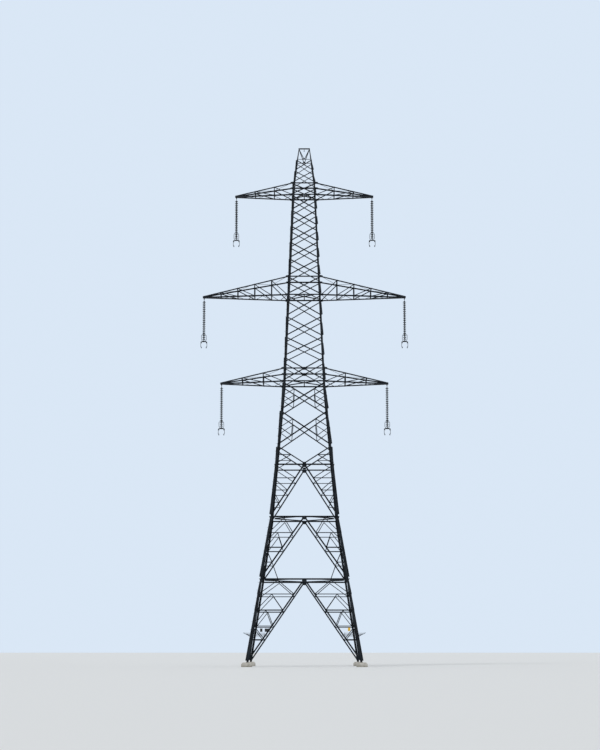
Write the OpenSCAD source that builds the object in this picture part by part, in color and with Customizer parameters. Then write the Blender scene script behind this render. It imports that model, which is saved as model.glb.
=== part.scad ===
// Lattice transmission pylon with six suspension insulator sets, as a 1:2 scale model.
// All sizes are millimetres of the model. X runs across the line, Y along it, Z up.
// The origin is the centre of the base at ground level.

/* [Tower outline] */
// Width over the legs at ground level
base_w = 5600; // [5000:50:6200]
// Width over the legs at the lower bend
bend_w = 3310; // [3000:10:3600]
// Width over the legs where the straight cage begins
cage_w = 2065; // [1900:5:2250]
// Width over the legs at the foot of the peak
neck_w = 1100; // [1000:5:1250]
// Length of the ridge bar on top of the peak
ridge_l = 585; // [450:5:700]

/* [Panel heights] */
// Height of the base panel, from the ground to the lowest horizontal
base_panel_h = 4220; // [3800:10:4600]
// Height of the second panel, up to the lower bend
second_panel_h = 3055; // [2800:5:3300]
// Height of the third panel, up to the waist horizontal
third_panel_h = 2590; // [2400:5:2800]
// Height of the waist panel, above the waist horizontal
waist_panel_h = 925; // [850:5:1100]
// Height of the lower of the two crossed panels under the cage
lower_cross_h = 1780; // [1600:5:1950]
// Height of the upper of the two crossed panels under the cage
upper_cross_h = 1450; // [1300:5:1600]
// Height of the tall crossed panel behind the bottom arms
arm_cross_h = 1300; // [1150:5:1450]
// Number of crossed panels between the bottom and middle arms
lower_cage_panels = 3; // [2:1:4]
// Number of crossed panels between the middle and top arms
upper_cage_panels = 5; // [4:1:6]
// Height of each lower cage panel as a share of the one below it
lower_taper = 1.03; // [0.96:0.002:1.06]
// Height of each upper cage panel as a share of the one below it
upper_taper = 0.966; // [0.94:0.002:1]
// Height of the peak above the top chords of the top arms
peak_h = 1935; // [1700:5:2200]
// Height of the lower crossed panel of the peak
peak_low_h = 635; // [550:5:700]
// Height of the upper crossed panel of the peak
peak_high_h = 600; // [520:5:680]

/* [Cross arms] */
// Height between the bottom chords of the bottom and middle arms
lower_arm_gap = 4430; // [4100:10:4800]
// Height between the bottom chords of the middle and top arms
upper_arm_gap = 5240; // [4900:10:5600]
// Depth of a bottom arm at the body
bottom_arm_h = 720; // [600:5:850]
// Depth of a middle arm at the body
middle_arm_h = 1010; // [880:5:1120]
// Depth of a top arm at the body
top_arm_h = 675; // [580:5:800]
// Distance from the tower axis to the hanger of a bottom arm
bottom_reach = 4165; // [3900:5:4400]
// Distance from the tower axis to the hanger of a middle arm
middle_reach = 5080; // [4800:5:5300]
// Distance from the tower axis to the hanger of a top arm
top_reach = 3465; // [3200:5:3700]
// Length of the arm tip past its hanger
tip_over = 70; // [50:5:110]
// Distance between the side trusses at an arm tip
tip_w = 130; // [110:5:180]
// Depth of an arm at its tip
tip_h = 72; // [62:1:84]

/* [Steel sections] */
// Flange width of the legs below the lower bend
low_leg_w = 100; // [88:1:115]
// Flange thickness of the legs below the lower bend
low_leg_t = 12; // [9:0.5:14]
// Flange width of the legs between the lower bend and the cage
mid_leg_w = 82; // [72:1:94]
// Flange thickness of the legs between the lower bend and the cage
mid_leg_t = 9; // [7:0.5:11]
// Flange width of the cage legs
cage_leg_w = 72; // [64:1:82]
// Flange thickness of the cage legs
cage_leg_t = 7; // [5:0.5:9]
// Flange width of the peak legs
peak_leg_w = 55; // [45:1:65]
// Flange thickness of the peak legs
peak_leg_t = 5; // [4:0.5:7]
// Width of the flat top of the ridge bar
ridge_w = 50; // [40:1:60]
// Height of the ridge bar with its rib
rib_h = 60; // [50:1:70]
// Thickness of the ridge bar's rib
rib_t = 8; // [6:0.5:10]
// Flange width of the heavy horizontals and main diagonals
main_w = 66; // [54:1:76]
// Flange thickness of the heavy horizontals and main diagonals
main_t = 6; // [4:0.5:8]
// Flange width of the crossed bracing
brace_w = 50; // [42:1:56]
// Flange thickness of the crossed bracing
brace_t = 4; // [3:0.5:5]
// Flange width of the light secondary bars
light_w = 36; // [28:1:42]
// Flange thickness of the light secondary bars
light_t = 3; // [2.5:0.5:4]
// Flange width of the arm chords
chord_w = 63; // [52:1:68]
// Flange thickness of the arm chords
chord_t = 6; // [5:0.5:8]
// Gap between two bolted faces
seat = 0.4; // [0.3:0.05:0.6]

/* [Footings] */
// Width of a concrete footing at the ground
footing_w = 520; // [450:10:650]
// Width of a concrete footing at its top
footing_top_w = 380; // [330:10:440]
// Height of a concrete footing above the ground
footing_h = 210; // [160:5:260]
// Height of the straight sides of a footing
footing_side_h = 130; // [90:5:150]
// Depth that a leg is cast into its footing
cast_depth = 150; // [100:5:155]

/* [Insulator sets] */
// Number of discs in a string
disc_count = 21; // [17:1:22]
// Pitch of the discs
disc_pitch = 95.5; // [85:0.5:98]
// Diameter of a disc
disc_d = 160; // [145:1:170]
// Diameter of a disc's metal cap
cap_d = 60; // [52:1:66]
// Diameter of the steel pin between two discs
link_d = 18; // [14:1:22]
// Diameter of the hanger pin
pin_d = 18; // [14:1:22]
// Radial clearance between the hanger pin and its eye
pin_play = 0.05; // [0.03:0.01:0.08]
// Thickness of the eye that swings on the hanger pin
eye_t = 14; // [10:1:18]
// Distance from the hanger pin to the cap of the first disc
link_l = 105; // [90:5:130]
// Thickness of a hanger lug
lug_t = 8; // [6:1:10]
// Distance from the underside of the arm to the hanger pin
lug_drop = 42; // [38:1:60]
// Distance from the last disc to the yoke plate
socket_l = 60; // [45:5:80]
// Width across the conductor clamps
bundle_w = 250; // [220:5:280]
// Height between the upper and lower conductor clamps
bundle_h = 250; // [220:5:280]
// Diameter of one conductor
conductor_d = 14.3; // [12:0.1:16]
// Diameter of the earth wire
earth_d = 9.8; // [8:0.1:11]
// Distance from the ridge bar's rib down to the earth wire
earth_drop = 90; // [70:5:110]
// Length of a conductor clamp along the line
clamp_l = 110; // [90:5:130]
// Thickness of the yoke plate
yoke_t = 12; // [9:1:15]
// Width of the arcing ring
ring_w = 265; // [235:5:290]
// Height of the arcing ring
ring_h = 350; // [300:5:400]
// Lean of the arcing ring from the level, in degrees
ring_lean = 52; // [45:1:58]
// Diameter of the arcing ring's tube
ring_d = 22; // [16:1:26]

/* [Guards and plates] */
// Height of the climbing guards above the ground
guard_z = 1420; // [1380:10:1500]
// Distance that a climbing guard stands out from its leg
guard_out = 400; // [320:10:440]
// Side of the square arms of a climbing guard
guard_bar = 16; // [12:1:20]
// Side of the square wires of a climbing guard
guard_wire = 6; // [4:1:8]
// Number of wires along a climbing guard
guard_wires = 5; // [3:1:7]
// Upward slope of the arms of a climbing guard, in degrees
guard_rise = 20; // [10:1:30]
// Width of the small plates
plate_w = 120; // [100:5:140]
// Width of the wide plate
wide_plate_w = 260; // [220:5:280]
// Height of the plates
plate_h = 165; // [140:5:190]
// Distance that the two dark plates hang below their rung
plate_drop = 60; // [40:5:90]

/* [Hidden] */
$fn = 48;
z_first = base_panel_h;
z_bend = z_first + second_panel_h;
z_waist = z_bend + third_panel_h;
z_cross = z_waist + waist_panel_h;
z_mid_cross = z_cross + lower_cross_h;
z_bottom = z_mid_cross + upper_cross_h;
z_middle = z_bottom + lower_arm_gap;
z_top = z_middle + upper_arm_gap;
z_neck = z_top + top_arm_h;
z_ridge = z_neck + peak_h;
OUTLINE = [[0, base_w / 2], [z_bend, bend_w / 2], [z_bottom, cage_w / 2], [z_neck, neck_w / 2],
           [z_ridge, ridge_l / 2]];
LEG_W = [low_leg_w, mid_leg_w, cage_leg_w, peak_leg_w];
LEG_T = [low_leg_t, mid_leg_t, cage_leg_t, peak_leg_t];
clear = 2;
quarter_share = 0.6;
BASE_RUNGS = [0.17, 0.371, 0.569, 0.736];
PANEL_RUNGS = [0.25, 0.5, 0.75];
heavy_rung = 2;
fan_share = 0.37;
overrun = 15;
plate_places = [0.928, 0.895, 0.77];
centre_gusset = [5, 3];
foot_pin = 10;
cap_neck = 12;
clamp_drop = 75;
clamp_r = 1.2;
tab_w = 26;
tab_h = 34;
tab_gap = 20;
arm_w = 22;
strap_w = 14;
node_reach = 2;
ARMS = [[z_bottom, bottom_arm_h, bottom_reach, 3], [z_middle, middle_arm_h, middle_reach, 5],
        [z_top, top_arm_h, top_reach, 3]];

// Half width of the tower at a height, and which straight stretch of the legs that height is on
function stretch(z) = z < z_bend ? 0 : z < z_bottom ? 1 : z < z_neck ? 2 : 3;
function half_on(s, z) = OUTLINE[s][1] + (OUTLINE[s + 1][1] - OUTLINE[s][1])
    * (z - OUTLINE[s][0]) / (OUTLINE[s + 1][0] - OUTLINE[s][0]);
function half(z) = half_on(stretch(z), z);
function lean(s) = atan((OUTLINE[s][1] - OUTLINE[s + 1][1]) / (OUTLINE[s + 1][0] - OUTLINE[s][0]));
function unit(v) = v / norm(v);
function mix(a, b, f) = a + (b - a) * f;

// Puts its children, drawn flat, into the plane of one face of the tower. The flat origin is the
// middle of the face at height z, and the flat Z axis points out of the tower.
module on_face(side, s, z) {
    rotate([0, 0, 90 * side])
        translate([0, -half_on(s, z), z])
            rotate([90 - lean(s), 0, 0])
                children();
}

// A point of a face, given as [across, height], in the flat frame that starts at height z
function flat(p, s, z) = [p[0], (p[1] - z) / cos(lean(s))];

// A straight strip between two flat points
module strip(a, b, w, shift = 0) {
    d = b - a;
    translate(a)
        rotate([0, 0, atan2(d[1], d[0])])
            translate([0, shift - w / 2])
                square([norm(d), w]);
}

// Angle bars drawn flat: each bar is [start, end], with its flange in the layer from z0 outwards
// and its fin standing up from the flange. up = -1 turns the layer towards the inside.
module angle_bars(bars, w, t, z0, up = 1, edge = 1) {
    translate([0, 0, up > 0 ? z0 : z0 - t])
        linear_extrude(t)
            for (b = bars) strip(b[0], b[1], w);
    translate([0, 0, up > 0 ? z0 + t / 2 : z0 - w])
        linear_extrude(w - t / 2)
            for (b = bars) {
                d = unit(b[1] - b[0]);
                cut = len(b) > 2 ? b[2] : 0;
                strip(b[0] + d * cut, b[1] - d * cut, t, edge * (w / 2 - t / 2 - seat));
            }
}

// Straight stretch of a leg: an angle section whose two flanges lie in two faces of the tower
module leg_angle(s, z0, z1, w, t, grow = 0) {
    a = tan(lean(s));
    c = cos(lean(s));
    n = sin(lean(s));
    run = unit([a, a, 1]);
    across = unit([a * n + c, -a * n, -a * c]);
    other = unit([-a * n, a * n + c, -a * c]);
    up = cross(run, across);
    turn = acos(across * other);
    along = [cos(turn), sin(turn)];
    low = [-half_on(s, z0), -half_on(s, z0), z0];
    high = [-half_on(s, z1), -half_on(s, z1), z1];
    start = low + run * (seat - grow) - (across + other) * grow;
    wide = w + 2 * grow;
    multmatrix([[across[0], up[0], run[0], start[0]],
                [across[1], up[1], run[1], start[1]],
                [across[2], up[2], run[2], start[2]]])
        linear_extrude(norm(high - low) - 2 * seat + grow)
            polygon([[0, 0], [wide, 0], [wide, t + 2 * grow],
                     leg_corner(t + 2 * grow, turn),
                     wide * along + leg_inside(t + 2 * grow, turn), wide * along]);
}

function leg_inside(t, turn) = [t * sin(turn), -t * cos(turn)];
function leg_corner(t, turn) = leg_inside(t, turn)
    + t * (1 + cos(turn)) / sin(turn) * [cos(turn), sin(turn)];

// One leg from its footing to the peak, in straight spliced lengths
module leg(corner) {
    splice = mix(z_bottom, z_top, 0.5);
    color("dimgray")
        rotate([0, 0, 90 * corner]) {
            leg_angle(0, footing_h - cast_depth, z_first, low_leg_w, low_leg_t);
            leg_angle(0, z_first, z_bend, low_leg_w, low_leg_t);
            leg_angle(1, z_bend, z_waist, mid_leg_w, mid_leg_t);
            leg_angle(1, z_waist, z_bottom, mid_leg_w, mid_leg_t);
            leg_angle(2, z_bottom, splice, cage_leg_w, cage_leg_t);
            leg_angle(2, splice, z_neck, cage_leg_w, cage_leg_t);
        }
}

// Concrete footings, each with the pocket that its leg is cast into
module footings() {
    color("lightgray")
        for (corner = [0:3])
            rotate([0, 0, 90 * corner])
                difference() {
                    translate([-base_w / 2 + low_leg_w / 2, -base_w / 2 + low_leg_w / 2, 0]) {
                        translate([-footing_w / 2, -footing_w / 2, 0])
                            cube([footing_w, footing_w, footing_side_h]);
                        hull() {
                            translate([-footing_w / 2, -footing_w / 2, footing_side_h - 1])
                                cube([footing_w, footing_w, 1]);
                            translate([-footing_top_w / 2, -footing_top_w / 2, footing_h - 1])
                                cube([footing_top_w, footing_top_w, 1]);
                        }
                    }
                    leg_angle(0, footing_h - cast_depth, z_first, low_leg_w, low_leg_t, seat);
                }
}

// Where a bar meets a leg: on the middle of the leg's flange, in a face of stretch s
function on_leg(side, s, z) = [side * (half_on(s, z) - LEG_W[s] * 0.5), z];

// The half of a braced panel on one side of its inverted V: the main diagonal and the light bars
// between it and the leg. The rungs meet the diagonal at the given shares of its length, and one of
// them is heavier. Where there are fans, a tail bolted on behind runs down to the panel below.
function v_top(z1) = z1 - main_w * 1.5 - clear;
function diagonal_point(side, s, foot, z1, f) =
    mix([side * main_w * 0.75, v_top(z1)], on_leg(side, s, foot), f);

module v_half(side, s, z0, z1, foot, shares, fans) {
    levels = len(shares);
    function d(i) = diagonal_point(side, s, foot, z1, i == 0 ? 0 : shares[i - 1]);
    head = v_top(z1) + main_w / 2 - light_w / 2;
    function leg_end(i) = on_leg(side, s, i == 0 ? head : d(i)[1]);
    function middle(i) = i == 0 ? [side * half_on(s, z1) * quarter_share, head]
        : mix(leg_end(i), d(i), fan_share);
    tail = [side * half_on(s, z0) * quarter_share, z0 - main_w / 2];
    rungs = [for (i = [1:levels]) [leg_end(i), d(i)]];
    fan = [for (i = [1:1:fans]) each [[middle(i - 1), leg_end(i)], [middle(i - 1), d(i)]]];
    ties = [for (i = [fans + 1:1:levels]) [leg_end(i - 1) - (i > 1 ? [0, light_w * 2] : [0, 0]), d(i)]];
    foot_end = diagonal_point(side, s, foot, z1, 1);
    angle_bars([[flat(d(0), s, z0), flat(foot_end, s, z0)]], main_w, main_t, seat, 1, side);
    if (fans > 0)
        angle_bars([[flat(leg_end(heavy_rung), s, z0), flat(d(heavy_rung), s, z0)]],
                   brace_w, brace_t, seat, 1, -side);
    angle_bars([for (b = concat(rungs, fan, ties)) [flat(b[0], s, z0), flat(b[1], s, z0)]],
               light_w, light_t, seat, 1, -side);
    if (fans > 0 && z0 > 0)
        angle_bars([[flat(d(levels), s, z0), flat(tail, s, z0)]], light_w, light_t, 0, -1, side);
}

// The horizontal at the top of a braced panel, with the gusset that the diagonals are bolted to
module v_top_bar(s, z0, z1) {
    z = z1 - main_w / 2 - clear / 2;
    gusset_w = main_w * 3.4;
    gusset_h = main_w * 2.6;
    angle_bars([[flat(on_leg(-1, s, z), s, z0), flat(on_leg(1, s, z), s, z0)]],
               main_w, main_t, seat, 1, 1);
    centre = flat([0, z], s, z0);
    translate([0, centre[1], -LEG_T[s]])
        linear_extrude(LEG_T[s])
            translate([-gusset_w / 2, main_w / 2 - gusset_h])
                square([gusset_w, gusset_h]);
    translate([-main_w, centre[1] - main_w / 4, -LEG_T[s] / 2])
        cube([main_w * 2, main_w / 2, LEG_T[s] / 2 + seat + main_t / 2]);
}

module base_panel(side) {
    color("dimgray")
        on_face(side, 0, 0) {
            for (hand = [-1, 1])
                v_half(hand, 0, 0, z_first, footing_h + main_w, BASE_RUNGS, 3);
            v_top_bar(0, 0, z_first);
        }
}

module bend_panels(side) {
    color("dimgray") {
        on_face(side, 0, z_first) {
            for (hand = [-1, 1])
                v_half(hand, 0, z_first, z_bend, z_first + main_w, PANEL_RUNGS, 2);
            v_top_bar(0, z_first, z_bend);
        }
        on_face(side, 1, z_bend) {
            for (hand = [-1, 1])
                v_half(hand, 1, z_bend, z_waist, z_bend + main_w, PANEL_RUNGS, 0);
            v_top_bar(1, z_bend, z_waist);
        }
    }
}

// Where two diagonals cross that run between heights low and high
function crossing(s, low, high) =
    [0, mix(low, high, on_leg(1, s, low)[0] / (on_leg(1, s, low)[0] + on_leg(1, s, high)[0]))];

// A crossed panel between heights z0 and z1: one diagonal outside the leg flanges, the other inside,
// with a packing block where they cross. The block's size is given in widths of the bar.
module crossed(s, z0, z1, base, w, t, reach = 1.1, block = [2 / 3, 2 / 3]) {
    low = z0 + w * reach;
    high = z1 - w * reach;
    inner = -LEG_T[s] - seat;
    a = on_leg(-1, s, low);
    b = on_leg(1, s, high);
    c = on_leg(1, s, low);
    d = on_leg(-1, s, high);
    meet = flat(crossing(s, low, high), s, base);
    cope = LEG_T[s] + w + t;
    angle_bars([[flat(a, s, base), flat(b, s, base)]], w, t, seat, 1, 1);
    angle_bars([[flat(d, s, base), flat(c, s, base), cope]], w, t, inner, -1, -1);
    translate([-w * block[0] / 2, meet[1] - w * block[1] / 2, inner - t / 2])
        cube([w * block[0], w * block[1], LEG_T[s] + 2 * seat + t]);
}

// Light bars beside each leg in a crossed panel: an upright between the middles of the upper and
// lower half diagonals, and a bar from each of those middles to the leg
module side_ties(s, z0, z1, base, w, reach = 1.1) {
    low = z0 + w * reach;
    high = z1 - w * reach;
    inner = -LEG_T[s] - seat;
    centre = crossing(s, low, high);
    for (hand = [-1, 1]) {
        upper = mix(centre, on_leg(hand, s, high), 0.5);
        lower = mix(centre, on_leg(hand, s, low), 0.5);
        near = hand > 0 ? upper : lower;
        far = hand > 0 ? lower : upper;
        middle = flat(on_leg(hand, s, (upper[1] + lower[1]) / 2), s, base);
        block = flat(far, s, base);
        angle_bars([[flat(near, s, base), block], [flat(near, s, base), middle]],
                   light_w, light_t, seat, 1, hand);
        angle_bars([[block, middle]], light_w, light_t, inner, -1, hand);
        translate([block[0] - light_w / 2, block[1] - light_w / 2, inner - light_t / 2])
            cube([light_w, light_w, LEG_T[s] + 2 * seat + light_t]);
    }
}

module waist_panels(side) {
    w = brace_w * 1.15;
    t = brace_t;
    color("dimgray")
        on_face(side, 1, z_waist) {
            low = z_waist + w * 0.7;
            for (hand = [-1, 1]) {
                foot = [hand * w * 0.3, low];
                head = on_leg(hand, 1, z_cross - w);
                joint = mix(foot, head, 0.5);
                angle_bars([[flat(foot, 1, z_waist), flat(head, 1, z_waist)]], w, t, seat, 1, -hand);
                angle_bars([for (z = [joint[1], z_waist + light_w])
                            [flat(joint, 1, z_waist), flat(on_leg(hand, 1, z), 1, z_waist)]],
                           light_w, light_t, seat, 1, hand);
            }
            translate([-w * 1.5, flat([0, z_waist + clear], 1, z_waist)[1], -LEG_T[1]])
                cube([w * 3, w * 1.6, LEG_T[1] + seat + t / 2]);
            crossed(1, z_cross, z_mid_cross, z_waist, w, t);
            crossed(1, z_mid_cross, z_bottom, z_waist, w, t);
            side_ties(1, z_cross, z_mid_cross, z_waist, w);
            side_ties(1, z_mid_cross, z_bottom, z_waist, w);
        }
}

// Heights of the panel joints between two levels, each panel a fixed share of the one below it
function panel_sum(n, taper) = n < 1 ? 0 : pow(taper, n - 1) + panel_sum(n - 1, taper);
function panel_z(z0, z1, n, taper, i) = z0 + (z1 - z0) * panel_sum(i, taper) / panel_sum(n, taper);

// A row of crossed panels between two levels of the cage
module panel_row(z0, z1, n, taper) {
    for (i = [0:n - 1])
        crossed(2, panel_z(z0, z1, n, taper, i), panel_z(z0, z1, n, taper, i + 1),
                z_bottom, brace_w, brace_t);
}

// Horizontal on the inside of the leg flanges, at the chord level of an arm
module level_bar(z, base) {
    s = 2;
    inset = LEG_T[s] + seat + main_t + clear;
    p = half_on(s, z) - inset;
    angle_bars([[flat([-p, z], s, base), flat([p, z], s, base), main_w + main_t]],
               main_w, main_t, -LEG_T[s] - seat, -1, 1);
}

// Light bars from the legs at a height to the middles of the lower half diagonals, each in the
// layer of its diagonal
module corner_ties(z0, z1, height) {
    s = 2;
    low = z0 + brace_w * node_reach;
    high = z1 - brace_w * node_reach;
    for (hand = [-1, 1]) {
        joint = mix(crossing(s, low, high), on_leg(hand, s, low), 0.5);
        tie = [flat(on_leg(hand, s, height), s, z0), flat(joint, s, z0)];
        angle_bars([tie], light_w, light_t, hand < 0 ? seat : -LEG_T[s] - seat, -hand, 1);
    }
}

module cage_side(side) {
    color("dimgray")
        on_face(side, 2, z_bottom) {
            crossed(2, z_bottom, z_bottom + arm_cross_h, z_bottom, brace_w, brace_t, node_reach,
                    centre_gusset);
            corner_ties(z_bottom, z_bottom + arm_cross_h, z_bottom + bottom_arm_h - main_w);
            panel_row(z_bottom + arm_cross_h, z_middle, lower_cage_panels, lower_taper);
            crossed(2, z_middle, z_middle + middle_arm_h, z_bottom, brace_w, brace_t, node_reach);
            panel_row(z_middle + middle_arm_h, z_top, upper_cage_panels, upper_taper);
            crossed(2, z_top, z_neck, z_bottom, brace_w, brace_t, node_reach);
            for (arm = ARMS) {
                level_bar(arm[0] + main_w / 2 + clear, z_bottom);
                level_bar(arm[0] + arm[1] - main_w / 2 - clear, z_bottom);
            }
        }
}

// Flat diamond of bars inside the tower, between the middles of the four horizontals
module diaphragm(z) {
    s = stretch(z);
    deep = LEG_T[s] + seat;
    end = half_on(s, z) - deep - main_t / 2;
    mid = end - brace_w / 2;
    plate_w = main_w * 2.2;
    translate([0, 0, z])
        linear_extrude(brace_t)
            for (k = [0:3])
                rotate([0, 0, 90 * k]) {
                    strip([0, -mid], [mid, 0], brace_w);
                    translate([-plate_w / 2, -end])
                        square([plate_w, brace_w * 1.5]);
                }
    translate([0, 0, z + brace_t / 2])
        linear_extrude(brace_w)
            for (k = [0:3])
                rotate([0, 0, 90 * k])
                    strip([plate_w, -mid + plate_w], [mid - plate_w, -plate_w], brace_t);
    for (k = [0:3])
        on_face(k, s, z)
            translate([-plate_w / 2, -main_w * 0.6, -deep - main_t])
                cube([plate_w, main_w * 1.1, main_t]);
}

module base_diaphragms() {
    color("dimgray") {
        diaphragm(z_first - main_w / 2);
        diaphragm(z_bend - main_w / 2);
    }
}

// Crossed flat frame inside the cage at the bottom chords of each pair of arms. It lies on the
// inner ledges of the horizontals, and ledge is how far in from the face its bars begin.
module arm_level_frames() {
    ledge = cage_leg_t + seat + main_w * 0.75;
    tilt = lean(2);
    color("dimgray")
        for (arm = ARMS) {
            z = arm[0] + clear + main_w / 2 + (main_w / 2 - seat) * cos(tilt)
                - (ledge + brace_w * 0.02) * sin(tilt) + seat;
            reach = half(arm[0]) - ledge - brace_w * 0.36;
            cut = brace_w * 3;
            translate([0, 0, z]) {
                linear_extrude(brace_t) {
                    strip([-reach, -reach], [reach, reach], brace_w);
                    strip([-reach, reach], [reach, -reach], brace_w);
                    strip([0, ledge - half(arm[0])], [0, half(arm[0]) - ledge], brace_w);
                }
                translate([0, 0, brace_t / 2])
                    linear_extrude(brace_w)
                        for (m = [-1, 1])
                            strip([-reach + cut, m * (cut - reach)], [reach - cut, m * (reach - cut)],
                                  brace_t);
            }
        }
}

// Peak: four short legs with two crossed panels a side, closing to the ridge bar
module peak_frame() {
    z0 = z_neck + clear;
    z1 = z_neck + peak_low_h;
    z2 = z1 + peak_high_h;
    lift = peak_leg_w * (tan(lean(3)) - tan(lean(2)));
    color("dimgray") {
        for (corner = [0:3])
            rotate([0, 0, 90 * corner])
                leg_angle(3, z_neck + lift, z2, peak_leg_w, peak_leg_t);
        for (k = [0:3])
            on_face(k, 3, z_neck) {
                crossed(3, z_neck, z1, z_neck, light_w, light_t);
                crossed(3, z1, z2, z_neck, light_w, light_t);
            }
        for (k = [0, 2])
            rotate([0, 0, 90 * k])
                peak_gable(z2);
    }
}

// Front or back gable of the peak, leaning in from the top corners to the rib of the ridge bar.
// Its posts and gusset are outside, with the sill and two flat diagonals bolted on behind them.
module peak_gable(z2) {
    low = half_on(3, z2);
    high = ridge_l / 2;
    tilt = atan(low / (z_ridge - z2));
    w = light_w;
    rib_y = (low - rib_t / 2 - seat - peak_leg_t * cos(tilt)) / sin(tilt);
    corner = w / 2 * (low - high) / rib_y;
    top = rib_y - corner;
    edge = w * 0.8;
    foot = tan(tilt) * peak_leg_t - tan(lean(3)) * (edge - w / 2) / cos(tilt) - corner - 2 * seat;
    sill = corner + seat + w / 2;
    translate([0, -low, z2])
        rotate([90 - tilt, 0, 0])
            translate([0, 0, -peak_leg_t]) {
                for (m = [-1, 1]) {
                    angle_bars([[[m * (low - edge), foot], [m * (high - edge), top]]],
                               w, light_t, 0, 1, m);
                    translate([0, 0, -seat - light_t])
                        linear_extrude(light_t)
                            strip([m * (high - edge), top - w], [m * w * 0.6, sill + w], w);
                }
                angle_bars([[[edge - low, sill], [low - edge, sill]]], w, light_t, -seat, -1, 1);
                translate([-w * 1.6, sill - w / 2, 0])
                    cube([w * 3.2, w * 2.5, light_t]);
            }
}

// Ridge bar on top of the peak, a tee with its rib down, and the earth wire clamp below it
module ridge_bar() {
    clamp_z = z_ridge - rib_h - earth_drop;
    color("dimgray")
        difference() {
            union() {
                translate([-ridge_l / 2, -ridge_w / 2, z_ridge - peak_leg_t])
                    cube([ridge_l, ridge_w, peak_leg_t]);
                translate([-ridge_l / 2, -rib_t / 2, z_ridge - rib_h])
                    cube([ridge_l, rib_t, rib_h - peak_leg_t / 2]);
                translate([-earth_d, -rib_t / 2 + 0.5, clamp_z])
                    cube([2 * earth_d, rib_t - 1, rib_h / 2 + earth_drop]);
                translate([0, 0, clamp_z])
                    rotate([90, 0, 0])
                        cylinder(h = clamp_l * 0.8, r = earth_d * 1.5, center = true);
            }
            translate([0, 0, clamp_z])
                rotate([90, 0, 0])
                    cylinder(h = clamp_l, r = earth_d / 2, center = true);
        }
}

// One side truss of an arm, drawn flat from the body to the tip: chords, posts and diagonals
module arm_truss(length, depth, lean_in, bays) {
    low = chord_w / 2;
    top = depth - chord_w / 2;
    tip = tip_h - chord_w / 2;
    hang = length - tip_over;
    top_end = [length, tip + chord_w * 0.3];
    function top_y(x) = mix([lean_in, top], top_end, (x - lean_in) / (length - lean_in))[1];
    w = brace_w * 0.8;
    t = brace_t;
    posts = [for (i = [1:bays - 1]) [[hang * i / bays, low], [hang * i / bays, top_y(hang * i / bays)]]];
    ties = [for (i = [0:bays - 2])
            [[hang * i / bays + (i == 0 ? w + overrun : 0), low],
             [hang * (i + 1) / bays, top_y(hang * (i + 1) / bays)]]];
    angle_bars([[[0, low], [length, low]]], chord_w, chord_t, 0, -1, -1);
    angle_bars([[[lean_in, top], [length, top_y(length)]]], chord_w, chord_t, 0, -1, 1);
    angle_bars(concat(posts, ties), w, t, -1, -1, 1);
}

// A whole arm on the right of the tower: two side trusses, the flat zigzags above and below, and
// the tip plates with the hanger lugs and pin
module arm_right(z, depth, reach, bays) {
    body = half(z) - overrun;
    body_top = half(z + depth) - overrun;
    inset = clear;
    y0 = half(z) - inset;
    y0_top = half(z + depth) - inset;
    end = reach + tip_over;
    low_start = [body, -y0, z];
    low_end = [end, -tip_w / 2, z];
    top_start = [body_top, -y0_top, z + depth];
    along = unit(low_end - low_start);
    rise = top_start - low_start;
    up = unit(rise - along * (rise * along));
    out = cross(along, up);
    length = norm(low_end - low_start);
    for (m = [0, 1])
        mirror([0, m, 0])
            multmatrix([[along[0], up[0], out[0], low_start[0]],
                        [along[1], up[1], out[1], low_start[1]],
                        [along[2], up[2], out[2], low_start[2]]])
                arm_truss(length, rise * up, rise * along, bays);
    arm_floor(body, end, y0, z, reach, bays);
    arm_roof(body_top, end, y0_top, z, depth, reach, bays);
    arm_tip(z, reach, end);
}

function arm_y(body, end, y0, x) = mix(y0, tip_w / 2, (x - body) / (end - body)) - chord_w * 0.4;

module arm_floor(body, end, y0, z, reach, bays) {
    w = brace_w * 0.8;
    hang = reach - body;
    x = [for (i = [0:bays]) body + hang * i / bays + (i == 0 ? w + overrun : 0)];
    translate([0, 0, z - 1])
        linear_extrude(brace_t)
            for (i = [0:bays - 1]) {
                m = i % 2 == 0 ? 1 : -1;
                half_x = (x[i] + x[i + 1]) / 2;
                strip([x[i], -m * arm_y(body, end, y0, x[i])],
                      [half_x, m * arm_y(body, end, y0, half_x)], w);
                strip([half_x, m * arm_y(body, end, y0, half_x)],
                      [x[i + 1], -m * arm_y(body, end, y0, x[i + 1])], w);
                strip([x[i + 1], -arm_y(body, end, y0, x[i + 1])],
                      [x[i + 1], arm_y(body, end, y0, x[i + 1])], w);
            }
}

module arm_roof(body, end, y0, z, depth, reach, bays) {
    fall = atan((depth - tip_h) / (end - body));
    slope = norm([end - body, depth - tip_h]);
    w = brace_w * 0.8;
    steps = [for (i = [0:bays - 1]) slope * i / bays + (i == 0 ? w + overrun : 0)];
    function y(x) = mix(y0, tip_w / 2, x / slope) - chord_w * 0.4;
    translate([body, 0, z + depth - 2])
        rotate([0, fall, 0])
            translate([0, 0, -brace_t])
                linear_extrude(brace_t)
                    for (i = [0:bays - 2]) {
                        m = i % 2 == 0 ? 1 : -1;
                        strip([steps[i], -m * y(steps[i])], [steps[i + 1], m * y(steps[i + 1])], w);
                        strip([steps[i + 1], -y(steps[i + 1])], [steps[i + 1], y(steps[i + 1])], w);
                    }
}

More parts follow.
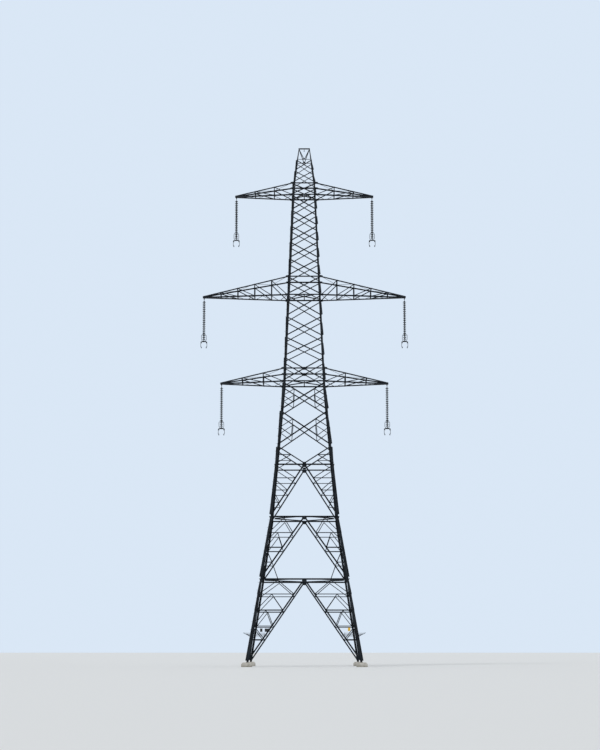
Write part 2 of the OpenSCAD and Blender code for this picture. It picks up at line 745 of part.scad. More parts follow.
// Tip of an arm: a floor plate between the chords, an end plate, and two lugs with the hanger pin
module arm_tip(z, reach, end) {
    plate_l = tip_over * 2.2;
    y = tip_w / 2 - 1;
    lug_y = eye_t / 2 + clear / 2;
    lug_r = pin_d * 1.4;
    pin_z = z - lug_drop;
    translate([end - plate_l, -y, z])
        cube([plate_l, 2 * y, chord_t]);
    translate([end - chord_t, -y, z + 1])
        cube([chord_t, 2 * y, tip_h - 2]);
    for (m = [0, 1])
        mirror([0, m, 0])
            translate([reach, -lug_y, pin_z])
                rotate([90, 0, 0])
                    linear_extrude(lug_t) {
                        circle(r = lug_r);
                        translate([-lug_r, 0])
                            square([2 * lug_r, lug_drop + chord_t / 2]);
                    }
    translate([reach, 0, pin_z])
        rotate([90, 0, 0])
            cylinder(h = 2 * (lug_y + lug_t) + pin_d * 0.6, r = pin_d / 2, center = true);
    for (m = [0, 1])
        mirror([0, m, 0])
            translate([reach, -(lug_y + lug_t - 1), pin_z])
                rotate([90, 0, 0])
                    cylinder(h = pin_d * 0.4, r = pin_d * 0.8, $fn = 6);
}

module arm(level, hand) {
    a = ARMS[level];
    half_w = half(a[0]);
    color("dimgray")
        mirror([hand < 0 ? 1 : 0, 0, 0])
            difference() {
                arm_right(a[0], a[1], a[2], a[3]);
                on_face(1, 2, a[0])
                    translate([-half_w, -half_w, seat - half_w])
                        cube([2 * half_w, half_w + a[1] * 2, half_w]);
            }
}

// Outline of one disc unit below height z, from its cap down to the pin of the next one
function disc_points(z) = [
    [cap_d * 0.3, z], [cap_d / 2, z - disc_pitch * 0.08], [cap_d / 2, z - disc_pitch * 0.34],
    [disc_d * 0.3, z - disc_pitch * 0.39], [disc_d * 0.43, z - disc_pitch * 0.5],
    [disc_d / 2, z - disc_pitch * 0.66], [disc_d / 2, z - disc_pitch * 0.72],
    [disc_d * 0.47, z - disc_pitch * 0.75], [disc_d * 0.4, z - disc_pitch * 0.68],
    [disc_d * 0.26, z - disc_pitch * 0.66], [link_d * 0.8, z - disc_pitch * 0.8],
    [link_d / 2, z - disc_pitch * 0.84], [link_d / 2, z - disc_pitch]];

// Insulator string hanging from its eye, with the pin at the origin
module insulator_string() {
    eye_r = pin_d * 1.3;
    top = -link_l;
    bottom = top - disc_count * disc_pitch;
    points = [for (i = [0:disc_count - 1]) each disc_points(top - i * disc_pitch)];
    color("darkslategray") {
        rotate_extrude()
            polygon(concat([[0, top + cap_neck], [cap_d * 0.3, top + cap_neck]], points,
                           [[link_d / 2, bottom - foot_pin], [0, bottom - foot_pin]]));
        difference() {
            union() {
                translate([0, eye_t / 2, 0])
                    rotate([90, 0, 0])
                        linear_extrude(eye_t) {
                            circle(r = eye_r);
                            translate([-eye_r * 0.7, -link_l / 2])
                                square([eye_r * 1.4, link_l / 2]);
                        }
                translate([0, 0, -link_l - 1])
                    cylinder(h = link_l / 2 + cap_neck, r = link_d * 0.6);
            }
            rotate([90, 0, 0])
                cylinder(h = eye_t * 2, r = pin_d / 2 + pin_play, center = true);
        }
    }
}

// Yoke plate on its socket below the last disc, with the arcing ring, and four conductor clamps
// that hang by their cheeks from the tabs of the plate
module line_end() {
    top = -link_l - disc_count * disc_pitch - foot_pin - seat;
    plate_z = top - socket_l;
    upper = plate_z - clamp_drop;
    levels = [upper, upper - bundle_h];
    color("gray") {
        translate([0, 0, plate_z])
            cylinder(h = socket_l, r = link_d * 0.9);
        translate([0, yoke_t / 2, 0])
            rotate([90, 0, 0])
                linear_extrude(yoke_t)
                    yoke_outline(plate_z, levels);
        arcing_ring(plate_z);
        for (x = [-1, 1])
            for (z = levels)
                translate([x * bundle_w / 2, 0, z])
                    clamp(conductor_d, clamp_l);
    }
}

module yoke_outline(plate_z, levels) {
    half_b = bundle_w / 2;
    arm_x = half_b + conductor_d * clamp_r + clear + arm_w;
    beam = levels[0] + tab_h;
    polygon([[-arm_x, beam], [arm_x, beam], [arm_x, beam + arm_w], [tab_w, plate_z + tab_w],
             [-tab_w, plate_z + tab_w], [-arm_x, beam + arm_w]]);
    for (m = [0, 1])
        mirror([m, 0, 0]) {
            translate([arm_x - arm_w, levels[1] + tab_h])
                square([arm_w, bundle_h + arm_w / 2]);
            translate([half_b - tab_w / 2, levels[1] + tab_h])
                square([tab_w + arm_w / 2, arm_w]);
            for (z = levels)
                translate([half_b - tab_w / 2, z + tab_gap])
                    square([tab_w, tab_h - tab_gap + arm_w / 2]);
        }
}

// A clamp round a conductor: a drilled body with two cheeks that hold a tab of the yoke plate
module clamp(bore, length) {
    r = bore * clamp_r;
    cheek = yoke_t / 2 + seat;
    difference() {
        union() {
            rotate([90, 0, 0])
                cylinder(h = length, r = r, center = true);
            for (m = [0, 1])
                mirror([0, m, 0])
                    translate([-tab_w * 0.4, cheek, bore * 0.8])
                        cube([tab_w * 0.8, yoke_t * 0.4, tab_h - bore * 0.8]);
        }
        rotate([90, 0, 0])
            cylinder(h = length * 1.2, r = bore / 2, center = true);
    }
}

// Oval ring round the lowest discs, leaning over them from a bracket on the socket. The string
// passes through the ring, which is low behind the string and high in front of it.
module arcing_ring(plate_z) {
    r = ring_w / 2 - ring_d / 2;
    reach = (ring_h - ring_d) / 2 / sin(ring_lean);
    straight = 2 * (reach - r);
    low = plate_z + socket_l / 3;
    translate([0, 0, low + reach * sin(ring_lean)])
        rotate([-ring_lean, 0, 0]) {
            for (x = [-r, r])
                translate([x, straight / 2, 0])
                    rotate([90, 0, 0])
                        cylinder(h = straight, r = ring_d / 2);
            for (end = [0, 1])
                rotate([0, 0, 180 * end])
                    translate([0, straight / 2, 0])
                        rotate_extrude(angle = 180)
                            translate([r, 0])
                                circle(r = ring_d / 2);
        }
    translate([0, 0, low])
        rotate([-90, 0, 0])
            cylinder(h = reach * cos(ring_lean), r = ring_d * 0.45);
}

module hang(level, hand) {
    a = ARMS[level];
    translate([hand * a[2], 0, a[0] - lug_drop])
        children();
}

// Climbing guards: arms that slope up and out from each leg and from the two diagonals beside it,
// with wires from one diagonal round the corner to the other
module climbing_guards() {
    color("dimgray")
        for (corner = [0:3])
            rotate([0, 0, 90 * corner])
                climbing_guard();
}

module guard_arm(across, lift) {
    foot = guard_bar * 2.4;
    translate([across, 0, lift]) {
        translate([-guard_bar, -foot / 2, 0])
            cube([guard_bar * 2, foot, guard_bar / 2]);
        rotate([-guard_rise, 0, 0])
            translate([-guard_bar / 2, -guard_bar / 2, guard_bar / 2 * tan(guard_rise)])
                cube([guard_bar, guard_bar, guard_out]);
    }
}

module climbing_guard() {
    h = half(guard_z);
    inset = low_leg_w * 0.45;
    slope = guard_rise + lean(0);
    head = v_top(z_first);
    share = (head - guard_z) / (head - footing_h - main_w);
    diagonal = diagonal_point(1, 0, footing_h + main_w, z_first, share)[0];
    on_face(0, 0, guard_z) {
        guard_arm(inset - h, seat);
        guard_arm(-diagonal, 2 * seat + main_t);
    }
    on_face(3, 0, guard_z) {
        guard_arm(h - inset, seat);
        guard_arm(diagonal, 2 * seat + main_t);
    }
    for (i = [1:guard_wires]) {
        run = (guard_out - guard_wire * 2) * i / guard_wires;
        o = h + run * cos(slope);
        z = guard_z + run * sin(slope);
        length = o - diagonal + guard_bar;
        translate([-o, -o, z - guard_wire / 2])
            difference() {
                cube([length, length, guard_wire]);
                translate([guard_wire, guard_wire, -1])
                    cube([o, o, guard_wire + 2]);
            }
    }
}

// Three bare plates on the inner side of the back face, each hanging on two straps from the third rung
module plates() {
    rung = diagonal_point(1, 0, footing_h + main_w, z_first, BASE_RUNGS[2])[1];
    reach = on_leg(1, 0, rung)[0];
    places = [[-reach * plate_places[0], plate_w, light_w / 2],
              [reach * plate_places[1], plate_w, plate_drop],
              [reach * plate_places[2], wide_plate_w, plate_drop]];
    color("goldenrod")
        on_face(2, 0, rung)
            for (p = places)
                translate([p[0], -p[2], -clear]) {
                    translate([-p[1] / 2, -plate_h, 0])
                        cube([p[1], plate_h, clear]);
                    for (m = [-1, 1])
                        translate([m * p[1] * 0.3 - strap_w / 2, -strap_w, 0])
                            cube([strap_w, strap_w * 1.5 + p[2], clear]);
                }
}

footings();
leg(0);  // leg_front_left
leg(1);  // leg_front_right
leg(2);  // leg_back_right
leg(3);  // leg_back_left
base_panel(0);  // base_panel_front
base_panel(1);  // base_panel_right
base_panel(2);  // base_panel_back
base_panel(3);  // base_panel_left
bend_panels(0);  // bend_panels_front
bend_panels(1);  // bend_panels_right
bend_panels(2);  // bend_panels_back
bend_panels(3);  // bend_panels_left
waist_panels(0);  // waist_panels_front
waist_panels(1);  // waist_panels_right
waist_panels(2);  // waist_panels_back
waist_panels(3);  // waist_panels_left
cage_side(0);  // cage_side_front
cage_side(1);  // cage_side_right
cage_side(2);  // cage_side_back
cage_side(3);  // cage_side_left
base_diaphragms();
arm_level_frames();
peak_frame();
ridge_bar();
arm(0, -1);  // arm_bottom_left
arm(0, 1);  // arm_bottom_right
arm(1, -1);  // arm_middle_left
arm(1, 1);  // arm_middle_right
arm(2, -1);  // arm_top_left
arm(2, 1);  // arm_top_right
hang(0, -1) insulator_string();  // string_bottom_left
hang(0, 1) insulator_string();  // string_bottom_right
hang(1, -1) insulator_string();  // string_middle_left
hang(1, 1) insulator_string();  // string_middle_right
hang(2, -1) insulator_string();  // string_top_left
hang(2, 1) insulator_string();  // string_top_right
hang(0, -1) line_end();  // yoke_bottom_left
hang(0, 1) line_end();  // yoke_bottom_right
hang(1, -1) line_end();  // yoke_middle_left
hang(1, 1) line_end();  // yoke_middle_right
hang(2, -1) line_end();  // yoke_top_left
hang(2, 1) line_end();  // yoke_top_right
climbing_guards();
plates();
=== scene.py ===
"""Looks of a lattice transmission pylon with six insulator sets, a 1:2 scale model, in metres."""

import math

import bmesh
import bpy
from mathutils import Matrix, Vector


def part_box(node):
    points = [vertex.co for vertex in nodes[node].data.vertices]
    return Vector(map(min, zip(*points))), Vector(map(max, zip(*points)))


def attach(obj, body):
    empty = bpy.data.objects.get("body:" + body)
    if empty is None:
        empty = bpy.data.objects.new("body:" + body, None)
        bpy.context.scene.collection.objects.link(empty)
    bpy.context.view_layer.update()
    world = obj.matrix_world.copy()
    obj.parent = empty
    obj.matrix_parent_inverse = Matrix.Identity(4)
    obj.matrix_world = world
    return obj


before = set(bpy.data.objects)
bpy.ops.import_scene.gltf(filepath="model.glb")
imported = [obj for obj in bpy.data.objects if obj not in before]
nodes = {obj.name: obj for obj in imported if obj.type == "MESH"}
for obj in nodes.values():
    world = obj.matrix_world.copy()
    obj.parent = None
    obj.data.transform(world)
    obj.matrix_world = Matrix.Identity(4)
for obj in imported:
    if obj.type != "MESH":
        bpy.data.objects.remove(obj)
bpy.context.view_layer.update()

# Camera. The tower is seen square on from far away and from a standing person's eye height, so
# the camera looks a little upwards. Its place was fitted to the near and far faces of the lattice.
IMAGE_W, IMAGE_H = 600, 750
FOCAL_PX = 1776.0
AXIS_COLUMN = 304.35
HORIZON_ROW = 650.0
CAMERA_AWAY = 88.5
CAMERA_UP = 0.8
SENSOR = 36.0

camera = bpy.data.objects.new("camera", bpy.data.cameras.new("camera"))
bpy.context.scene.collection.objects.link(camera)
bpy.context.scene.camera = camera
camera.data.sensor_width = SENSOR
camera.data.lens = FOCAL_PX * SENSOR / IMAGE_H
camera.data.clip_end = 1000.0
camera.location = (0, -CAMERA_AWAY, CAMERA_UP)
camera.rotation_euler = (
    math.pi / 2 + math.atan((HORIZON_ROW - IMAGE_H / 2) / FOCAL_PX),
    0,
    math.atan((AXIS_COLUMN - IMAGE_W / 2) / FOCAL_PX),
)

# Floor and light. A plain pale floor runs to the horizon under a pale sky, and a soft sun stands
# high behind the viewer's left shoulder.
FLOOR_SIZE = 900.0
FLOOR_COLOUR = (0.72, 0.74, 0.75, 1)
SKY_COLOUR = (0.70, 0.80, 0.92, 1)
SKY_LIGHT = 0.62
SUN_LIGHT = 1.5
SUN_SOFTNESS = math.radians(12)
SUN_TURN = (math.radians(48), 0, math.radians(-32))


def fill(tree, socket, value):
    """Gives an input of a shader node a plain value or another node's output."""
    if isinstance(value, bpy.types.NodeSocket):
        tree.links.new(value, socket)
    else:
        socket.default_value = value


def feed(tree, node, **values):
    """Fills inputs of a node by name, where _ stands for a space."""
    for label, value in values.items():
        fill(tree, node.inputs[label.replace("_", " ")], value)
    return node


def add_node(tree, kind, **values):
    return feed(tree, tree.nodes.new(f"ShaderNode{kind}"), **values)


def add_math(tree, operation, *values):
    node = add_node(tree, "Math")
    node.operation = operation
    for socket, value in zip(node.inputs, values):
        fill(tree, socket, value)
    return node.outputs[0]


def new_material(name):
    material = bpy.data.materials.new(name)
    material.use_nodes = True
    return material, material.node_tree, material.node_tree.nodes["Principled BSDF"]


bpy.ops.object.select_all(action="DESELECT")
bpy.ops.mesh.primitive_plane_add(size=FLOOR_SIZE)
floor = bpy.context.object
floor.name = "floor"
floor_paint, floor_tree, floor_shader = new_material("pale floor")
feed(floor_tree, floor_shader, Base_Color=FLOOR_COLOUR, Roughness=0.9)
floor.data.materials.append(floor_paint)

world = bpy.data.worlds.new("pale sky")
bpy.context.scene.world = world
world.use_nodes = True
sky = world.node_tree
sky_light = feed(sky, sky.nodes["Background"], Color=(1, 1, 1, 1), Strength=SKY_LIGHT)
seen_sky = add_node(sky, "Background", Color=SKY_COLOUR)
rays = add_node(sky, "LightPath").outputs
seen = add_math(sky, "MAXIMUM", rays["Is Camera Ray"], rays["Is Glossy Ray"])
either = add_node(sky, "MixShader", Fac=seen)
sky.links.new(sky_light.outputs[0], either.inputs[1])
sky.links.new(seen_sky.outputs[0], either.inputs[2])
feed(sky, sky.nodes["World Output"], Surface=either.outputs[0])

sun = bpy.data.objects.new("sun", bpy.data.lights.new("sun", "SUN"))
bpy.context.scene.collection.objects.link(sun)
sun.data.energy = SUN_LIGHT
sun.data.angle = SUN_SOFTNESS
sun.rotation_euler = SUN_TURN
bpy.context.scene.view_settings.view_transform = "Standard"

# Legs. Rolled steel angles, hot dip galvanised and painted dark grey, weathered dull. Lengths are
# joined by lapped cover plates inside the angle, bolted through. Step bolts go up one leg.
GROUND_W, BEND_W, CAGE_W, NECK_W, RIDGE_L = 5.6, 3.31, 2.065, 1.1, 0.585
Z_FIRST, Z_BEND, Z_WAIST, Z_CROSS, Z_MID_CROSS = 4.22, 7.275, 9.865, 10.79, 12.57
Z_ARMS = (14.02, 18.45, 23.69)
ARM_DEPTHS = (0.72, 1.01, 0.675)
Z_NECK, Z_RIDGE = 24.365, 26.3
OUTLINE = (
    (0.0, GROUND_W / 2),
    (Z_BEND, BEND_W / 2),
    (Z_ARMS[0], CAGE_W / 2),
    (Z_NECK, NECK_W / 2),
    (Z_RIDGE, RIDGE_L / 2),
)
LEG_W = (0.100, 0.082, 0.072, 0.055)
LEG_T = (0.012, 0.009, 0.007, 0.005)
SEAT = 0.0004
FACES = range(4)
STEEL_DARK = (0.006, 0.008, 0.011, 1)
STEEL_MID = (0.014, 0.019, 0.025, 1)
STEEL_PALE = (0.040, 0.046, 0.052, 1)
STEEL_STAIN = (0.022, 0.015, 0.010, 1)
BOLT_COLOUR = (0.034, 0.038, 0.042, 1)
DULL_SHINE = 0.12
BOLT_ACROSS = 0.015
BOLT_HEAD = 0.0065
BOLT_CHAMFER = 0.0014
WASHER_R, WASHER_T = 0.010, 0.0015
SHANK_R, SHANK_OUT = 0.005, 0.006
LONG_COVER, SHORT_COVER = 0.29, 0.13
LONG_STEPS, SHORT_STEPS = (0.13, 0.17, 0.21, 0.25), (0.04, 0.09)
LEG_JOINTS = (
    (Z_FIRST, LONG_COVER, LONG_STEPS),
    (Z_BEND, LONG_COVER, LONG_STEPS),
    (Z_WAIST, LONG_COVER, LONG_STEPS),
    ((Z_ARMS[0] + Z_ARMS[2]) / 2, SHORT_COVER, SHORT_STEPS),
)
COVER_LAP = 0.008
COVER_T = 0.009
COVER_CUT = 0.2
COVER_SHARES = (0.42, 0.78)
STEP_PITCH = 0.19
STEP_START = 1.75
STEP_R, STEP_LENGTH = 0.0045, 0.085
STEP_INSET = 0.15


def stretch(z):
    """Which straight stretch of the legs a height is on."""
    return sum(z >= level for level, _ in OUTLINE[1:4])


def half_on(s, z):
    """Half of the tower's width at a height, on the line of one stretch."""
    (z0, a), (z1, b) = OUTLINE[s], OUTLINE[s + 1]
    return a + (b - a) * (z - z0) / (z1 - z0)


def lean(s):
    (z0, a), (z1, b) = OUTLINE[s], OUTLINE[s + 1]
    return math.atan((a - b) / (z1 - z0))


def quarter_turns(count):
    return Matrix.Rotation(math.pi / 2 * count, 4, "Z")


def face_frame(face, s, z, across=0.0, out=0.0):
    """A frame on a face of the tower: X across it, Y up its slope and Z straight out of it."""
    return (
        quarter_turns(face)
        @ Matrix.Translation((0, -half_on(s, z), z))
        @ Matrix.Rotation(math.pi / 2 - lean(s), 4, "X")
        @ Matrix.Translation((across, 0, out))
    )


def turned_in(place):
    return place @ Matrix.Rotation(math.pi, 4, "X")


def on_leg(hand, s, z):
    """Where bars are bolted to a leg, as (across the face, height): the middle of its flange."""
    return Vector((hand * (half_on(s, z) - LEG_W[s] / 2), z))


def toward(a, b, distance):
    return a + (b - a).normalized() * distance


def pick_faces(wanted):
    """Selects the faces of the piece in edit mode for which wanted(face) holds."""
    bpy.ops.mesh.select_mode(type="FACE")
    bpy.ops.mesh.select_all(action="DESELECT")
    shape = bmesh.from_edit_mesh(bpy.context.edit_object.data)
    for face in shape.faces:
        face.select_set(wanted(face))
    bmesh.update_edit_mesh(bpy.context.edit_object.data)


def join(pieces, name):
    """Joins pieces into the first of them and leaves its place in its mesh."""
    bpy.ops.object.select_all(action="DESELECT")
    for piece in pieces:
        piece.select_set(True)
    bpy.context.view_layer.objects.active = pieces[0]
    if len(pieces) > 1:
        bpy.ops.object.join()
    bpy.ops.object.transform_apply(location=True, rotation=True, scale=True)
    pieces[0].name = name
    return pieces[0]


def stamp(pattern, places, name):
    """Copies a pattern piece to each place, each copy with its own mesh, as one piece."""
    copies = []
    for place in places:
        copy = bpy.data.objects.new(name, pattern.data.copy())
        copy.data.transform(place)
        bpy.context.scene.collection.objects.link(copy)
        copies.append(copy)
    return join(copies, name)


def cylinder(sides, radius, depth, middle):
    bpy.ops.object.select_all(action="DESELECT")
    bpy.ops.mesh.primitive_cylinder_add(
        vertices=sides, radius=radius, depth=depth, location=middle
    )
    return bpy.context.object


def block(size, middle=(0, 0, 0)):
    bpy.ops.object.select_all(action="DESELECT")
    bpy.ops.mesh.primitive_cube_add(size=1.0, location=middle)
    bpy.context.object.scale = size
    bpy.ops.object.transform_apply(location=True, rotation=False, scale=True)
    return bpy.context.object


def cut_corners(plate, width, wanted):
    """Cuts the corners of a flat plate for which wanted(corner) holds."""
    bpy.ops.object.mode_set(mode="EDIT")
    bpy.ops.mesh.select_mode(type="EDGE")
    bpy.ops.mesh.select_all(action="DESELECT")
    shape = bmesh.from_edit_mesh(plate.data)
    for edge in shape.edges:
        a, b = edge.verts
        edge.select_set(a.co.xy == b.co.xy and wanted(a.co))
    bmesh.update_edit_mesh(plate.data)
    bpy.ops.mesh.bevel(offset=width, segments=1)
    bpy.ops.object.mode_set(mode="OBJECT")


def chamfer_top(piece, width, rise):
    """Cuts the edge of a round or six-sided head by raising a smaller top face."""
    bpy.ops.object.mode_set(mode="EDIT")
    pick_faces(lambda face: face.normal.z > 0.9)
    bpy.ops.mesh.inset(thickness=width, depth=rise)
    bpy.ops.object.mode_set(mode="OBJECT")
    return piece


def washer():
    return cylinder(12, WASHER_R, WASHER_T, (0, 0, WASHER_T / 2))


def bolt_head(name):
    head = cylinder(6, BOLT_ACROSS / math.sqrt(3), BOLT_HEAD, (0, 0, WASHER_T + BOLT_HEAD / 2))
    return join([chamfer_top(head, BOLT_CHAMFER, BOLT_CHAMFER / 2), washer()], name)


def bolt_nut(name):
    nut = cylinder(6, BOLT_ACROSS / math.sqrt(3), BOLT_HEAD, (0, 0, WASHER_T + BOLT_HEAD / 2))
    shank = cylinder(8, SHANK_R, SHANK_OUT, (0, 0, WASHER_T + BOLT_HEAD + SHANK_OUT / 2))
    parts = [
        chamfer_top(nut, BOLT_CHAMFER, BOLT_CHAMFER / 2),
        chamfer_top(shank, SHANK_R / 4, SHANK_R / 4),
        washer(),
    ]
    return join(parts, name)


def effect_group(name, values, results):
    """An empty shader node group with these number inputs and number outputs."""
    group = bpy.data.node_groups.new(name, "ShaderNodeTree")
    for label, value in values.items():
        socket = group.interface.new_socket(label, in_out="INPUT", socket_type="NodeSocketFloat")
        socket.default_value = value
    for label in results:
        group.interface.new_socket(label, in_out="OUTPUT", socket_type="NodeSocketFloat")
    return group, group.nodes.new("NodeGroupInput"), group.nodes.new("NodeGroupOutput")


def object_place(tree):
    return add_node(tree, "TexCoord").outputs["Object"]


def masked(tree, value, none, full):
    """A mask that goes from 0 to 1 as a value goes from none to full."""
    return add_node(tree, "MapRange", Value=value, From_Min=none, From_Max=full).outputs["Result"]


def weather_group():
    """Weather on outdoor surfaces: broad patches, stains that run down, and a fine grain."""
    group, given, made = effect_group(
        "weather",
        {"Patch Scale": 2.2, "Streak Scale": 16.0, "Grain Scale": 260.0},
        ("Patches", "Streaks", "Grain"),
    )
    place = object_place(group)
    scales = given.outputs
    patches = add_node(
        group, "TexNoise", Vector=place, Scale=scales["Patch Scale"], Detail=5.0, Roughness=0.62
    )
    grain = add_node(group, "TexNoise", Vector=place, Scale=scales["Grain Scale"], Detail=3.0)
    flow = add_node(group, "Mapping", Vector=place, Scale=(1.0, 1.0, 0.07)).outputs["Vector"]
    streaks = add_node(group, "TexNoise", Vector=flow, Scale=scales["Streak Scale"], Detail=4.0)
    feed(
        group,
        made,
        Patches=masked(group, patches.outputs["Fac"], 0.34, 0.66),
        Streaks=masked(group, streaks.outputs["Fac"], 0.56, 0.74),
        Grain=grain.outputs["Fac"],
    )
    return group


WEATHER = weather_group()


def add_group(tree, group, **values):
    """The outputs of a shared effect, added to a material with these inputs."""
    node = add_node(tree, "Group")
    node.node_tree = group
    return feed(tree, node, **values).outputs


def add_weather(tree, patches, streaks, grain):
    return add_group(tree, WEATHER, Patch_Scale=patches, Streak_Scale=streaks, Grain_Scale=grain)


def mix_colour(tree, factor, first, second):
    """A mix of two colours, each given as a value or as another node's output."""
    mixer = add_node(tree, "Mix")
    mixer.data_type = "RGBA"
    fill(tree, mixer.inputs["Factor"], factor)
    for label, colour in (("A", first), ("B", second)):
        fill(tree, [i for i in mixer.inputs if i.name == label and i.type == "RGBA"][0], colour)
    return [o for o in mixer.outputs if o.type == "RGBA"][0]


def ranged(tree, mask, low, high):
    """A value that goes from low to high as a mask goes from 0 to 1."""
    return add_node(tree, "MapRange", Value=mask, To_Min=low, To_Max=high).outputs["Result"]


def add_bump(tree, height, distance, strength=0.6):
    bump = add_node(tree, "Bump", Height=height, Strength=strength, Distance=distance)
    return bump.outputs["Normal"]


def weathered_steel(name, dark, mid, pale, patch_scale, streak_scale):
    """Old paint over galvanised steel: dull, patchy, chalked pale in spots, with a few stains."""
    material, tree, shader = new_material(name)
    weather = add_weather(tree, patch_scale, streak_scale, 420.0)
    body = mix_colour(tree, weather["Patches"], dark, mid)
    chalk = add_node(tree, "TexNoise", Vector=object_place(tree), Scale=34.0, Detail=4.0)
    spots = ranged(tree, masked(tree, chalk.outputs["Fac"], 0.60, 0.72), 0.0, 0.55)
    chalked = mix_colour(tree, spots, body, pale)
    stain = ranged(tree, weather["Streaks"], 0.0, 0.4)
    feed(
        tree,
        shader,
        Base_Color=mix_colour(tree, stain, chalked, STEEL_STAIN),
        Roughness=ranged(tree, weather["Patches"], 0.75, 0.55),
        Specular_IOR_Level=DULL_SHINE,
        Normal=add_bump(tree, weather["Grain"], 0.0006),
    )
    return material


def finish_in(material, *names):
    """Gives CAD nodes their finish."""
    for name in names:
        nodes[name].data.materials.clear()
        nodes[name].data.materials.append(material)


def dress(piece, material, body):
    """Gives a new piece its finish and the body that it rides on."""
    piece.data.materials.clear()
    piece.data.materials.append(material)
    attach(piece, body)
    return piece


LEG_STEEL = weathered_steel("leg steel", STEEL_DARK, STEEL_MID, STEEL_PALE, 2.2, 14.0)
BOLT_STEEL = weathered_steel("bolt steel", STEEL_MID, BOLT_COLOUR, STEEL_PALE, 9.0, 30.0)
HEAD = bolt_head("pattern_head")
NUT = bolt_nut("pattern_nut")

finish_in(LEG_STEEL, "leg_front_left", "leg_front_right", "leg_back_right", "leg_back_left")


def cover_plate(face, s, z, hand, up, reach):
    """The part of a cover plate above or below a joint of a leg, with two cut corners."""
    width = LEG_W[s] - LEG_T[s] * 2.5
    across = hand * (half_on(s, z) - LEG_W[s] + width / 2)
    place = face_frame(face, s, z, across, -LEG_T[s] - SEAT - COVER_T / 2)
    plate = block((width, reach + COVER_LAP, COVER_T), (0, up * (reach - COVER_LAP) / 2, 0))
    cut_corners(plate, width * COVER_CUT, lambda corner: corner.y * up > reach / 2)
    plate.data.transform(place @ Matrix.Rotation(hand * math.atan(math.sin(lean(s))), 4, "Z"))
    return plate


covers, cover_heads, cover_nuts = [], [], []
for face in FACES:
    for hand in (-1, 1):
        for z, reach, rows in LEG_JOINTS:
            for up in (-1, 1):
                s = stretch(z + up * reach)
                covers.append(cover_plate(face, s, z, hand, up, reach))
                for row in rows:
                    for share in COVER_SHARES:
                        level = z + up * row
                        across = hand * (half_on(s, level) - LEG_W[s] * share)
                        behind = -LEG_T[s] - SEAT - COVER_T
                        cover_heads.append(face_frame(face, s, level, across))
                        cover_nuts.append(turned_in(face_frame(face, s, level, across, behind)))
dress(join(covers, "leg_cover_plates"), LEG_STEEL, "tower")
dress(stamp(HEAD, cover_heads, "leg_joint_bolts"), BOLT_STEEL, "tower")
dress(stamp(NUT, cover_nuts, "leg_joint_nuts"), BOLT_STEEL, "tower")


def step_bolt(name):
    """A step: a round bar with a lock nut against the leg and a button head at its end."""
    bar = cylinder(10, STEP_R, STEP_LENGTH, (0, 0, STEP_LENGTH / 2))
    button = cylinder(10, STEP_R * 1.9, STEP_R * 1.4, (0, 0, STEP_LENGTH))
    nut = cylinder(6, STEP_R * 1.9, STEP_R * 1.6, (0, 0, STEP_R * 0.8))
    parts = [
        bar,
        chamfer_top(button, STEP_R * 0.6, STEP_R * 0.3),
        chamfer_top(nut, STEP_R * 0.3, STEP_R * 0.1),
    ]
    return join(parts, name)


steps = []
step_count = int((Z_NECK - STEP_START) / STEP_PITCH)
for i in range(step_count):
    level = STEP_START + STEP_PITCH * i
    s = stretch(level)
    corner = half_on(s, level) - LEG_W[s] * STEP_INSET
    steps.append(face_frame(0, s, level, -corner) if i % 2 else face_frame(3, s, level, corner))
STEP = step_bolt("pattern_step")
dress(stamp(STEP, steps, "leg_step_bolts"), BOLT_STEEL, "tower")

# Braced panels between the ground and the waist. Light rolled angles bolted to the outside of the
# leg flanges, with a gusset plate at the top of each inverted V and flat diamonds inside.
MAIN_W, MAIN_T = 0.066, 0.006
LIGHT_W, LIGHT_T = 0.036, 0.003
BRACE_W, BRACE_T = 0.050, 0.004
FOOTING_H = 0.21
CLEAR = 0.002
HEAD_SHARE, HEAD_DROP = 0.75, MAIN_W * 1.5 + CLEAR
QUARTER, FAN_SHARE = 0.6, 0.37
HEAVY_RUNG = 2
BASE_RUNGS = (0.17, 0.371, 0.569, 0.736)
PANEL_RUNGS = (0.25, 0.5, 0.75)
END_BOLTS = (0.016, 0.048)
MAIN_BOLTS = (0.02, 0.07, 0.12)
FOOT_SHIFT, END_INSET, NODE_INSET = 0.012, 0.006, MAIN_W * 0.7
GUSSET_ACROSS = (0.03, 0.085)
DIAMOND_ACROSS, DIAMOND_INWARD = 0.055, (0.02, 0.055)
PANELS = (
    (0, 0.0, Z_FIRST, FOOTING_H + MAIN_W, BASE_RUNGS, 3),
    (0, Z_FIRST, Z_BEND, Z_FIRST + MAIN_W, PANEL_RUNGS, 2),
    (1, Z_BEND, Z_WAIST, Z_BEND + MAIN_W, PANEL_RUNGS, 0),
)
BRACE_STEEL = weathered_steel("bracing steel", STEEL_DARK, STEEL_MID, STEEL_PALE, 3.1, 22.0)
SIDES = ("front", "right", "back", "left")

finish_in(BRACE_STEEL, "base_diaphragms", *[f"base_panel_{side}" for side in SIDES])
finish_in(BRACE_STEEL, *[f"bend_panels_{side}" for side in SIDES])


def diagonal_point(hand, s, foot, z1, share):
    """A point of the main diagonal of a braced panel, from its head under the top horizontal."""
    start = Vector((hand * MAIN_W * HEAD_SHARE, z1 - HEAD_DROP))
    return start.lerp(on_leg(hand, s, foot), share)


